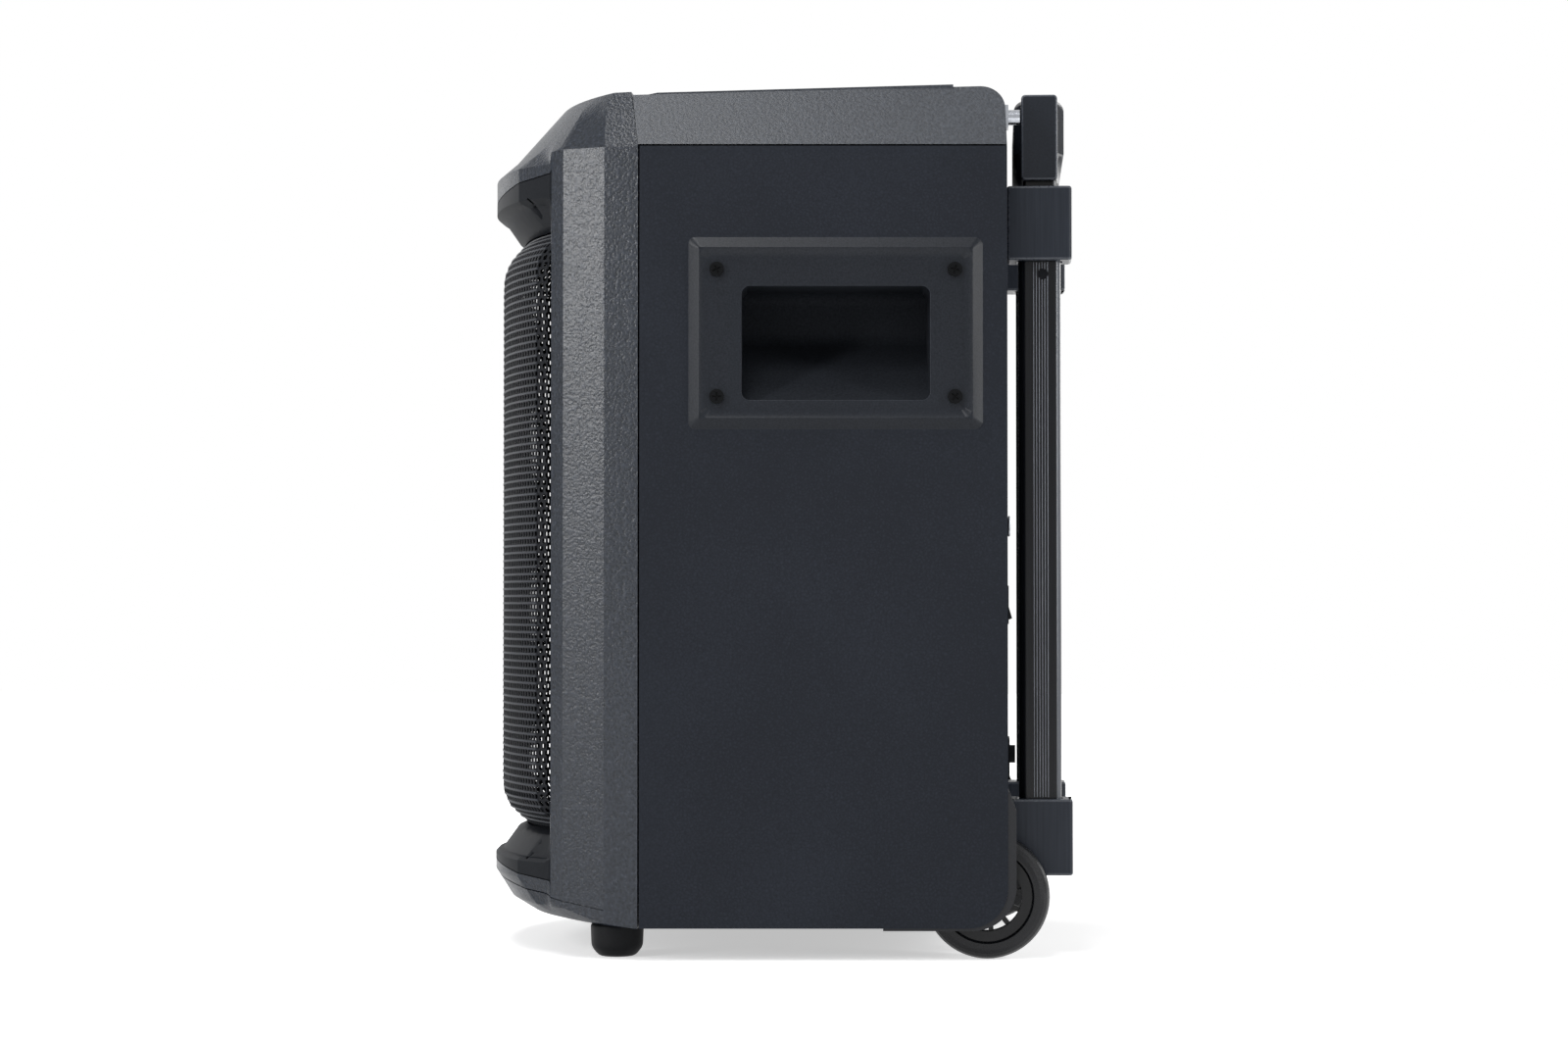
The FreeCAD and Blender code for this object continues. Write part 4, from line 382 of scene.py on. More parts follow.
CAD_FINISHES: dict[Finish, tuple[str, ...]] = {
    LEATHERETTE: ("side_panel_right", "side_panel_left", "bottom_panel", "rear_panel"),
    TEXTURED_ABS: ("front_frame",),
    COVER_ABS: ("top_cover",),
    SATIN_ABS: ("upper_bumper", "lower_bumper"),
    HOUSING_ABS: ("wheel_housing_right", "wheel_housing_left"),
    HANDLE_ABS: ("pocket_handle_right", "pocket_handle_left"),
    BRACKET_NYLON: ("upper_brackets", "lower_brackets"),
    GRIP_NYLON: ("grip",),
    GRILLE_COAT: ("grille",),
    PANEL_BLACK_AND_SHADE: ("control_panel", "jack_plate", "rocker_bezel", "bass_port", "mains_inlet",
                  "microphone_jacks", "aux_jack"),
    BUTTON_ABS: ("power_button", "source_button", "play_button", "light_button",
                 "bass_button", "rocker_switch", "release_button"),
    KNOB_RUBBER: ("volume_knob", "mic_knob", "echo_knob"),
    TYRE_PU: ("tyre_right", "tyre_left"),
    RIM_NYLON: ("rim_right", "rim_left"),
    FOOT_RUBBER: ("front_feet",),
    ANODISED: ("outer_tubes", "middle_tubes", "inner_tubes"),
    CHROME: ("antenna_socket",),
    ZINC_STEEL: ("usb_socket", "wheel_axles"),
    BLACK_STEEL: ("driver_screws", "case_screws"),
    FIBREBOARD: ("baffle_board",),
    CONE_PAPER: ("woofer_cone", "woofer_dust_cap"),
    SURROUND_RUBBER: ("woofer_surround",),
    DRIVER_STEEL: ("woofer_basket", "tweeter_drivers"),
    FERRITE: ("woofer_magnet",),
    DIFFUSER: ("light_ring",),
    HORN_ABS: ("tweeter_horns",),
    COPPER: ("voice_coil",),
    SOLDER_MASK: ("main_board",),
    SMOKED_ACRYLIC: ("display_window",),
    SHRINK_WRAP: ("battery_pack",),
    SUPPLY_CASE: ("power_supply",),
}


# ------------------------------------------------------------------ mesh helpers

def clear_selection() -> None:
    """Deselect everything, CAD nodes included."""
    if bpy.context.object is not None and bpy.context.object.mode != "OBJECT":
        bpy.ops.object.mode_set(mode="OBJECT")
    bpy.ops.object.select_all(action="DESELECT")


def only(piece: bpy.types.Object) -> None:
    """Select one object and make it active.

    Args:
        piece: the object.
    """
    clear_selection()
    piece.select_set(True)
    bpy.context.view_layer.objects.active = piece


@contextmanager
def editing(piece: bpy.types.Object, everything: bool = True) -> Iterator[None]:
    """Edit one piece's mesh, and go back to object mode at the end.

    Args:
        piece: object to edit.
        everything: selects the whole mesh first, else the selection stays.

    Yields:
        Nothing; the mesh operators work on the piece meanwhile.
    """
    only(piece)
    bpy.ops.object.mode_set(mode="EDIT")
    if everything:
        bpy.ops.mesh.select_all(action="SELECT")
    yield
    bpy.ops.object.mode_set(mode="OBJECT")


def settle(piece: bpy.types.Object) -> None:
    """Put a piece's place into its mesh, so that its object sits at the origin.

    Args:
        piece: the object.
    """
    only(piece)
    bpy.ops.object.transform_apply(location=True, rotation=True, scale=True)


def apply_modifier(piece: bpy.types.Object, kind: str, **settings: object) -> None:
    """Add a modifier, set it up and apply it.

    Args:
        piece: object that takes the modifier.
        kind: modifier type.
        **settings: the modifier's properties.
    """
    only(piece)
    bpy.ops.object.modifier_add(type=kind)
    modifier = piece.modifiers[-1]
    for key, value in settings.items():
        setattr(modifier, key, value)
    bpy.ops.object.modifier_apply(modifier=modifier.name)


def clean(piece: bpy.types.Object, smooth_angle: float = 32.0) -> None:
    """Merge doubles, turn faces outward and smooth the shallow edges.

    Args:
        piece: object to clean.
        smooth_angle: edges under this many degrees are shaded smooth.
    """
    with editing(piece):
        bpy.ops.mesh.remove_doubles(threshold=WELD)
        bpy.ops.mesh.normals_make_consistent(inside=False)
    bpy.ops.object.shade_smooth_by_angle(angle=math.radians(smooth_angle))


def crease_where(piece: bpy.types.Object, angle: float,
                 test: Callable[[Vector], bool]) -> None:
    """Shade the shallow edges of one region as crisp facets.

    Args:
        piece: object to mark.
        angle: edges over this many degrees turn crisp.
        test: says whether an edge's middle lies in the region.
    """
    with editing(piece):
        bpy.ops.mesh.select_mode(type="EDGE")
        bpy.ops.mesh.select_all(action="DESELECT")
        bpy.ops.mesh.edges_select_sharp(sharpness=math.radians(angle))
    points = piece.data.vertices
    chosen = [edge.select and test((points[edge.vertices[0]].co + points[edge.vertices[1]].co) / 2)
              for edge in piece.data.edges]
    with editing(piece):
        bpy.ops.mesh.select_all(action="DESELECT")
    for edge, take in zip(piece.data.edges, chosen):
        edge.select = take
    with editing(piece, everything=False):
        bpy.ops.mesh.mark_sharp()
        bpy.ops.mesh.select_all(action="DESELECT")
        bpy.ops.mesh.select_mode(type="VERT")


def cut_away(piece: bpy.types.Object, place: Vector, normal: Vector, fill: bool = True) -> None:
    """Cut a piece with a plane and drop what lies on the normal's side.

    Args:
        piece: object to cut.
        place: a point of the plane.
        normal: direction of the side that goes.
        fill: closes the cut.
    """
    with editing(piece):
        bpy.ops.mesh.bisect(plane_co=place, plane_no=normal, use_fill=fill, clear_outer=True,
                            threshold=ON_PLANE)


def copy_of_node(node: bpy.types.Object, name: str, joined: bool = True) -> bpy.types.Object:
    """Copy a CAD node's mesh into a piece that may be reshaped.

    Args:
        node: the CAD node's object.
        name: name of the new piece.
        joined: joins up the triangles of flat faces.

    Returns:
        The new piece, with merged vertices.
    """
    clear_selection()
    mesh = node.data.copy()
    piece = bpy.data.objects.new(name, mesh)
    bpy.context.scene.collection.objects.link(piece)
    mesh.name = name
    for layer in list(mesh.attributes):
        if layer.name == "custom_normal":
            mesh.attributes.remove(layer)
    with editing(piece):
        bpy.ops.mesh.remove_doubles(threshold=WELD)
        if joined:
            bpy.ops.mesh.dissolve_limited(angle_limit=math.radians(FLAT_DEGREES))
    return piece


def level_normals(piece: bpy.types.Object) -> None:
    """Let a piece's large faces rule its shading, so that thin ones don't streak.

    Args:
        piece: the object.
    """
    apply_modifier(piece, "WEIGHTED_NORMAL", keep_sharp=True, weight=NORMAL_WEIGHT,
                   mode="FACE_AREA")


def hold_within(piece: bpy.types.Object, node: bpy.types.Object) -> None:
    """Bring vertices that a wide bevel pushed out back to their node's own box.

    Args:
        piece: the bevelled copy.
        node: the CAD node that it copies.
    """
    places = [vertex.co for vertex in node.data.vertices]
    for axis in range(3):
        low = min(place[axis] for place in places)
        high = max(place[axis] for place in places)
        for vertex in piece.data.vertices:
            vertex.co[axis] = min(high, max(low, vertex.co[axis]))


def soften(nodes: dict[str, bpy.types.Object], name: str, radius: float,
           body: str, finish: Finish, angle: float = 35.0,
           shape: Optional[Callable[[bpy.types.Object], None]] = None,
           edge: Optional[Finish] = None, clamp: bool = True,
           joined: bool = True) -> bpy.types.Object:
    """Replace a CAD node with a copy whose sharp edges are rounded.

    Args:
        nodes: the frame's node objects by name.
        name: the node to replace.
        radius: edge radius.
        body: CAD body that the copy moves with.
        finish: finish all over.
        angle: edges over this many degrees are rounded.
        shape: shapes the copy before its edges are rounded.
        edge: lighter finish of the rounded edges, a painted highlight, if it differs.
        clamp: keeps the rounding narrower than the shortest edge beside it.
        joined: joins up the triangles of flat faces first.

    Returns:
        The new piece.
    """
    piece = copy_of_node(nodes[name], f"{name}_soft", joined)
    if shape is not None:
        shape(piece)
    dress(piece, finish)
    for face in piece.data.polygons:
        face.material_index = 0
    if edge is not None:
        piece.data.materials.append(edge.material())
    if radius > 0:
        apply_modifier(piece, "BEVEL", width=radius, segments=3, limit_method="ANGLE",
                       angle_limit=math.radians(angle), use_clamp_overlap=clamp,
                       material=-1 if edge is None else 1)
    if not clamp:
        hold_within(piece, nodes[name])
    clean(piece)
    level_normals(piece)
    ride(piece, body, finish)
    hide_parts(name)
    LOG.info("%s: %d faces", piece.name, len(piece.data.polygons))
    return piece


def add_slot_where(piece: bpy.types.Object, finish: Finish,
                   test: Callable[[bpy.types.MeshPolygon], bool]) -> None:
    """Give a second finish to the faces that pass a test.

    Args:
        piece: object whose faces are sorted.
        finish: the second finish.
        test: says whether a face takes it.
    """
    piece.data.materials.append(finish.material())
    for face in piece.data.polygons:
        if test(face):
            face.material_index = len(piece.data.materials) - 1


def dress(piece: bpy.types.Object, finish: Finish) -> None:
    """Give a piece one finish all over.

    Args:
        piece: the object.
        finish: its finish.
    """
    piece.data.materials.clear()
    piece.data.materials.append(finish.material())


def join_all(pieces: list[bpy.types.Object], name: str) -> bpy.types.Object:
    """Join several objects into one named piece.

    Args:
        pieces: objects to join; the first one's data is kept.
        name: name of the result.

    Returns:
        The joined object.
    """
    clear_selection()
    for piece in pieces:
        piece.select_set(True)
    bpy.context.view_layer.objects.active = pieces[0]
    if len(pieces) > 1:
        bpy.ops.object.join()
    pieces[0].name = name
    pieces[0].data.name = name
    return pieces[0]


def rounded_block(name: str, low: Vector, high: Vector, radius: float,
                  segments: int = 3) -> bpy.types.Object:
    """Block between two corners with rounded edges.

    Args:
        name: name of the piece.
        low: lowest corner.
        high: highest corner.
        radius: edge radius.
        segments: faces across each rounded edge.

    Returns:
        The block.
    """
    clear_selection()
    bpy.ops.mesh.primitive_cube_add(size=1, location=(low + high) / 2)
    piece = bpy.context.object
    piece.name = name
    piece.scale = high - low
    settle(piece)
    if radius > 0:
        with editing(piece):
            bpy.ops.mesh.bevel(offset=radius, segments=segments, affect="EDGES")
    return piece


def ride(piece: bpy.types.Object, body: str, finish: Finish) -> bpy.types.Object:
    """Settle, dress and hang a finished piece on its body.

    Args:
        piece: the finished piece.
        body: CAD body that it moves with.
        finish: its finish.

    Returns:
        The same piece.
    """
    settle(piece)
    if not piece.data.materials:
        dress(piece, finish)
    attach(piece, body)
    return piece


# ------------------------------------------------------------------ the curved grille

@dataclass
class Grille:
    """Perforated steel sheet with raised ribs, curved like the speaker's nose."""

    nose_axis_y: float = 78.35 * MM
    face_radius: float = 257.8 * MM
    rib_half_width: float = 131.6 * MM
    edge_half_width: float = 136.7 * MM
    edge_depth: float = 7.4 * MM
    row_pitch: float = 4.45 * MM
    hole_pitch: float = 4.9 * MM
    hole_radius: float = 1.75 * MM
    sheet: float = 0.8 * MM
    rib_height: float = 1.3 * MM
    rib_proud: float = 0.3 * MM
    rib_sunk: float = 0.3 * MM
    sweep_degrees: float = 37.0
    sweep_steps: int = 44
    # Depth and height of the sheet's middle line from its top end down, in millimetres.
    profile: tuple[tuple[float, float], ...] = (
        (-157.9, 449.6), (-162.5, 443.6), (-169.8, 437.3), (-175.8, 430.0),
        (-178.8, 421.6), (-179.2, 412.0), (-179.2, 104.0), (-178.7, 95.7),
        (-175.1, 87.2), (-169.1, 81.5), (-161.8, 74.7),
    )

    def profile_point(self, run: float) -> tuple[float, float]:
        """Depth and height of the sheet's middle line.

        Args:
            run: distance along the sheet from its top end.

        Returns:
            Depth and height in metres.
        """
        left = run
        for (y0, z0), (y1, z1) in zip(self.profile, self.profile[1:]):
            length = math.hypot(y1 - y0, z1 - z0) * MM
            if left <= length:
                share = left / length
                return (y0 + (y1 - y0) * share) * MM, (z0 + (z1 - z0) * share) * MM
            left -= length
        return self.profile[-1][0] * MM, self.profile[-1][1] * MM

    def profile_length(self) -> float:
        """Length of the sheet from its top end to its bottom end."""
        pairs = zip(self.profile, self.profile[1:])
        return sum(math.hypot(b[0] - a[0], b[1] - a[1]) for a, b in pairs) * MM

    def rib_arc(self) -> float:
        """Arc length from the middle to where the sheet bends back."""
        return self.face_radius * math.asin(self.rib_half_width / self.face_radius)

    def half_arc(self) -> float:
        """Arc length from the middle to the sheet's edge."""
        return self.rib_arc() + math.hypot(self.edge_half_width - self.rib_half_width,
                                           self.edge_depth)

    def wrapped(self, across: float, run: float, lift: float) -> Vector:
        """Place of a point of the flat sheet on the curved one.

        Args:
            across: distance from the middle, along the arc.
            run: distance from the top end, along the profile.
            lift: height over the sheet's outer face.

        Returns:
            The point in space.
        """
        side = -1.0 if across < 0 else 1.0
        depth, height = self.profile_point(run)
        radius = self.nose_axis_y - depth + lift
        reach = min(abs(across), self.rib_arc())
        x = self.face_radius * math.sin(reach / self.face_radius)
        y = self.nose_axis_y - math.sqrt(radius ** 2 - x ** 2)
        beyond = abs(across) - self.rib_arc()
        if beyond > 0:
            share = beyond / (self.half_arc() - self.rib_arc())
            x += (self.edge_half_width - self.rib_half_width) * share
            y += self.edge_depth * share
        return Vector((side * x, y, height))

    def cell(self) -> bpy.types.Object:
        """One hole with the rectangle of sheet round it, six-sided for a light mesh."""
        half_x, half_y = self.hole_pitch / 2, self.row_pitch / 2
        border = [(half_x, half_y), (0, half_y), (-half_x, half_y),
                  (-half_x, -half_y), (0, -half_y), (half_x, -half_y)]
        clear_selection()
        bpy.ops.mesh.primitive_circle_add(vertices=6, radius=self.hole_radius,
                                          fill_type="NOTHING")
        hole = bpy.context.object
        bpy.ops.mesh.primitive_circle_add(vertices=6, radius=self.row_pitch,
                                          fill_type="NOTHING")
        rim = bpy.context.object
        for piece, points in ((rim, border), (hole, self.hexagon())):
            for vertex, (x, y) in zip(piece.data.vertices, points):
                vertex.co = (x, y, 0)
        cell = join_all([hole, rim], "grille_cell")
        with editing(cell):
            bpy.ops.mesh.bridge_edge_loops()
        return cell

    def hexagon(self) -> list[tuple[float, float]]:
        """Corners of one hole, first one up and to the right."""
        angles = (35, 90, 145, 215, 270, 325)
        return [(self.hole_radius * math.cos(math.radians(a)),
                 self.hole_radius * math.sin(math.radians(a))) for a in angles]

    def sheet_piece(self) -> bpy.types.Object:
        """Build the perforated sheet: one cell, staggered rows, then bent to the nose.

        Returns:
            The sheet with its thickness.
        """
        cell = self.cell()
        only(cell)
        bpy.ops.object.duplicate()
        shifted = bpy.context.object
        shifted.location = (self.hole_pitch / 2, -self.row_pitch, 0)
        settle(shifted)
        sheet = join_all([cell, shifted], "grille_mesh")
        columns = math.ceil(2 * self.half_arc() / self.hole_pitch) + 1
        pairs = math.ceil(self.profile_length() / self.row_pitch / 2)
        for count, offset in ((columns, (self.hole_pitch, 0, 0)),
                              (pairs, (0, -2 * self.row_pitch, 0))):
            apply_modifier(sheet, "ARRAY", count=count, use_relative_offset=False,
                           use_constant_offset=True, constant_offset_displace=offset,
                           use_merge_vertices=True, merge_threshold=1e-5)
        start = -(columns - 1) * self.hole_pitch / 2
        for vertex in sheet.data.vertices:
            vertex.co.x += start
        edge = self.half_arc()
        for place, normal in (((edge, 0, 0), (1, 0, 0)), ((-edge, 0, 0), (-1, 0, 0)),
                              ((0, -self.profile_length(), 0), (0, -1, 0)),
                              ((0, 0, 0), (0, 1, 0))):
            cut_away(sheet, Vector(place), Vector(normal), fill=False)
        for vertex in sheet.data.vertices:
            vertex.co = self.wrapped(vertex.co.x, -vertex.co.y, 0.0)
        clean(sheet, 40)
        with editing(sheet):
            bpy.ops.mesh.normals_make_consistent(inside=False)
            if sum(p.normal.y for p in sheet.data.polygons) > 0:
                bpy.ops.mesh.flip_normals()
        apply_modifier(sheet, "SOLIDIFY", thickness=self.sheet, offset=-1.0)
        return sheet

    def ribs_piece(self) -> bpy.types.Object:
        """Spin the ribs between the hole rows about the nose's axis.

        Returns:
            All ribs in one piece.
        """
        bars = []
        count = int(self.profile_length() / self.row_pitch)
        for index in range(1, count):
            depth, height = self.profile_point((index - 0.5) * self.row_pitch)
            clear_selection()
            bpy.ops.mesh.primitive_circle_add(
                vertices=6, radius=self.rib_height / 2, fill_type="NOTHING",
                location=(0, depth, height), rotation=(0, math.radians(90), 0))
            bar = bpy.context.object
            settle(bar)
            for vertex in bar.data.vertices:
                if vertex.co.y < depth - 0.1 * MM:
                    vertex.co.y = depth - self.rib_proud
                else:
                    vertex.co.y = depth + self.rib_sunk
            bars.append(bar)
        ribs = join_all(bars, "grille_ribs")
        sweep = math.radians(self.sweep_degrees)
        centre = (0, self.nose_axis_y, 0)
        with editing(ribs):
            bpy.ops.transform.rotate(value=sweep, orient_axis="Z", center_override=centre)
            bpy.ops.mesh.spin(steps=self.sweep_steps, angle=2 * sweep, center=centre,
                              axis=(0, 0, 1))
        turn = self.spin_error(ribs)
        if abs(turn) > 1e-4:
            ribs.data.transform(Matrix.Translation((0, self.nose_axis_y, 0))
                                @ Matrix.Rotation(turn, 4, "Z")
                                @ Matrix.Translation((0, -self.nose_axis_y, 0)))
        for side in (-1, 1):
            cut_away(ribs, Vector((side * self.rib_half_width, 0, 0)), Vector((side, 0, 0)))
        clean(ribs, 50)
        return ribs

    def spin_error(self, ribs: bpy.types.Object) -> float:
        """Angle that centres the spun ribs on the front.

        Args:
            ribs: the spun ribs.

        Returns:
            Turn about the nose's axis in radians.
        """
        angles = [math.atan2(v.co.x, self.nose_axis_y - v.co.y) for v in ribs.data.vertices]
        return -(max(angles) + min(angles)) / 2

    def build(self) -> None:
        """Build the sheet and its ribs and hang them on the speaker."""
        sheet = ride(self.sheet_piece(), SPEAKER, GRILLE_COAT)
        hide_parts("grille")
        LOG.info("grille_mesh: %d faces", len(sheet.data.polygons))
        # Painted highlight: the ribs take a lighter coat than the sheet.
        ribs = ride(self.ribs_piece(), SPEAKER, RIB_HIGHLIGHT_COAT)
        LOG.info("grille_ribs: %d faces", len(ribs.data.polygons))


# ------------------------------------------------------------------ nose ends

@dataclass
class NoseEnds:
    """Front mouldings whose ends turn back to the frame's lips in a soft facet."""

    start_x: float = 117.0 * MM
    end_x: float = 141.05 * MM
    lip_y: float = -132.85 * MM
    set_back: float = 9.0 * MM
    crown_from: float = 489.0 * MM
    fade: float = 10.0 * MM
    lip_clear: float = 1.0 * MM
    slot_from: float = 119.0 * MM
    slot_beyond: float = 4.0 * MM
    bumper_edge: float = 0.7 * MM
    bumper_angle: float = 40.0
    # Edges over these angles in degrees are crisp, beside the grille and on the crown.
    side_crease: float = 4.0
    crown_crease: float = 9.0
    # Node and outline (depth, height) of each recess, in millimetres.
    slots: tuple[tuple[str, tuple[tuple[float, float], ...]], ...] = (
        ("upper_bumper", ((-148.1, 456.3), (-144.9, 459.0), (-140.6, 452.6), (-141.2, 450.8),
                          (-147.8, 450.8))),
        ("upper_bumper", ((-150.4, 462.9), (-149.6, 463.4), (-145.5, 459.9), (-146.2, 459.2))),
        ("lower_bumper", ((-147.6, 69.9), (-140.7, 70.3), (-140.9, 67.2), (-145.9, 67.0))),
        ("lower_bumper", ((-150.6, 58.6), (-149.7, 58.0), (-145.4, 61.6), (-146.2, 62.3))),
    )
    # Planes that divide the nose before its ends are bent, in millimetres.
    steps: tuple[float, ...] = (117.0, 123.0, 129.0, 134.0, 138.0)
    levels: tuple[float, ...] = (26.0, 32.0, 38.0, 484.0, 489.7, 495.0, 501.0, 507.0, 513.0)
    depths: tuple[float, ...] = (-132.9, -135.5, -138.0, -141.0, -145.0, -150.0, -156.0)

    def turn_back(self, piece: bpy.types.Object) -> None:
        """Slide the ends of the nose back towards the lips.

        Args:
            piece: copy of a CAD node that carries part of the nose.
        """
        planes = [((side * step * MM, 0, 0), (side, 0, 0))
                  for side in (-1, 1) for step in self.steps]
        planes += [((0, 0, level * MM), (0, 0, 1)) for level in self.levels]
        planes += [((0, depth * MM, 0), (0, 1, 0)) for depth in self.depths]
        with editing(piece):
            for place, normal in planes:
                bpy.ops.mesh.select_all(action="SELECT")
                bpy.ops.mesh.bisect(plane_co=place, plane_no=normal, threshold=ON_PLANE)
            bpy.ops.mesh.select_all(action="SELECT")
            bpy.ops.mesh.quads_convert_to_tris(quad_method="BEAUTY", ngon_method="BEAUTY")
        for vertex in piece.data.vertices:
            place = vertex.co
            share = (abs(place.x) - self.start_x) / (self.end_x - self.start_x)
            ahead = (self.lip_y - place.y) / (self.set_back + self.lip_clear)
            under = (self.crown_from + self.fade - place.z) / self.fade
            if 0 < share <= 1.001 and ahead > 0 and under > 0:
                place.y += self.set_back * share * min(ahead, 1.0) * min(under, 1.0)

    def cut_slots(self, piece: bpy.types.Object, node: str) -> None:
        """Cut the small dark recesses into both ends of a bumper.

        Args:
            piece: the bumper's copy, already turned back.
            node: name of its node.
        """
        for owner, outline in self.slots:
            if owner != node:
                continue
            for side in (-1, 1):
                mesh = bpy.data.meshes.new("slot_cutter")
                count = len(outline)
                ends = [side * self.slot_from, side * (self.end_x + self.slot_beyond)]
                points = [(x, y * MM, z * MM) for x in ends for y, z in outline]
                faces = [tuple(range(count)), tuple(range(count, 2 * count))]
                faces += [(i, (i + 1) % count, count + (i + 1) % count, count + i)
                          for i in range(count)]
                mesh.from_pydata(points, [], faces)
                cutter = bpy.data.objects.new("slot_cutter", mesh)
                bpy.context.scene.collection.objects.link(cutter)
                clean(cutter)
                apply_modifier(piece, "BOOLEAN", operation="DIFFERENCE", solver="EXACT",
                               object=cutter)
                bpy.data.objects.remove(cutter)

    def build(self, nodes: dict[str, bpy.types.Object]) -> None:
        """Shape the frame and both bumpers.

        Args:
            nodes: the frame's node objects by name.
        """
        frame = soften(nodes, "front_frame", 0.0, SPEAKER, TEXTURED_ABS,
                       shape=self.turn_back, joined=False)
        clean(frame)
        crease_where(frame, self.side_crease, lambda place: abs(place.x) > self.end_x)
        crease_where(frame, self.crown_crease, lambda place: place.z > self.crown_from)
        level_normals(frame)
        for name in ("upper_bumper", "lower_bumper"):
            bumper = soften(nodes, name, self.bumper_edge, SPEAKER, SATIN_ABS,
                            self.bumper_angle, shape=self.turn_back)
            self.cut_slots(bumper, name)
            clean(bumper)
            level_normals(bumper)


# ------------------------------------------------------------------ trolley

@dataclass
class Trolley:
    """Ribbed tubes, soft-edged brackets and the grip."""

    tube_x: float = 102.5 * MM
    tube_half: float = 9.0 * MM
    # Depths of the ribs on a tube's face, in millimetres.
    rib_y: tuple[float, ...] = (160.3, 162.0, 163.7, 165.4, 167.1, 168.8)
    rib_width: float = 0.55 * MM
    rib_proud: float = 0.35 * MM
    rib_edge: float = 0.2 * MM
    rib_z: tuple[float, float] = (96.2 * MM, 423.3 * MM)
    tube_bodies: dict[str, str] = field(default_factory=lambda: {
        "outer_tubes": SPEAKER, "middle_tubes": "middle_section", "inner_tubes": "handle"})
    lock_z: float = 416.0 * MM
    lock_y: float = 166.0 * MM
    lock_radius: float = 3.2 * MM
    lock_lift: float = 0.3 * MM
    lock_depth: float = 0.8 * MM
    bracket_edge: float = 1.5 * MM
    grip_edge: float = 1.2 * MM
    # A corner face that looks at least this much sideways and this much to the rear takes the
    # painted highlight.
    painted_highlight_normal: tuple[float, float] = (0.35, 0.4)

    def ribs(self) -> bpy.types.Object:
        """Build the extruded ribs on the tubes' outer and inner faces."""
        bars = []
        for side in (-1, 1):
            for face in (-1, 1):
                x = side * self.tube_x + face * self.tube_half
                for y in self.rib_y:
                    low, high = (Vector((x + end * self.rib_proud,
                                         y * MM + end * self.rib_width / 2, height))
                                 for end, height in zip((-1, 1), self.rib_z))
                    bars.append(rounded_block("tube_rib", low, high, self.rib_edge, 1))
        return join_all(bars, "tube_ribs")

    def lock_hole_shade_discs(self) -> bpy.types.Object:
        """Build black discs near the tubes' tops, painted shade that stands in for the lock holes'
        dark insides.
        """
        rings = []
        for side in (-1, 1):
            for face in (-1, 1):
                x = side * self.tube_x + face * (self.tube_half + self.lock_lift)
                clear_selection()
                bpy.ops.mesh.primitive_cylinder_add(
                    vertices=32, radius=self.lock_radius, depth=self.lock_depth,
                    location=(x, self.lock_y, self.lock_z),
                    rotation=(0, math.radians(90), 0))
                rings.append(bpy.context.object)
        piece = join_all(rings, "tube_lock_hole_shade_discs")
        settle(piece)
        return piece

    def build(self, nodes: dict[str, bpy.types.Object]) -> None:
        """Build the ribs and soften the mouldings.

        Args:
            nodes: the frame's node objects by name.
        """
        ribs = self.ribs()
        clean(ribs)
        # Painted highlight: the ribs take a light colour as the lines of light along their crests.
        ride(ribs, SPEAKER, ANODISED_RIB_HIGHLIGHT)
        # Painted shade: black discs in the panel's finish stand in for the lock holes.
        holes = self.lock_hole_shade_discs()
        clean(holes)
        ride(holes, SPEAKER, PANEL_BLACK_AND_SHADE)
        for name in ("outer_tubes", "middle_tubes", "inner_tubes"):
            tube = soften(nodes, name, 0.0, self.tube_bodies[name], ANODISED)
            # Painted highlight: the corner faces turned to the rear lamp take a lighter colour.
            add_slot_where(tube, ANODISED_CORNER_HIGHLIGHT, lambda face:
                           abs(face.normal.x) > self.painted_highlight_normal[0]
                           and face.normal.y > self.painted_highlight_normal[1])
        # The brackets' and the grip's rounded edges take a lighter finish, a painted highlight.
        for name in ("upper_brackets", "lower_brackets"):
            soften(nodes, name, self.bracket_edge, SPEAKER, BRACKET_NYLON,
                   angle=60.0, edge=NYLON_EDGE_HIGHLIGHT, clamp=False)
        soften(nodes, "grip", self.grip_edge, "handle", GRIP_NYLON,
               angle=50.0, edge=NYLON_EDGE_HIGHLIGHT, clamp=False)


# ------------------------------------------------------------------ side handles

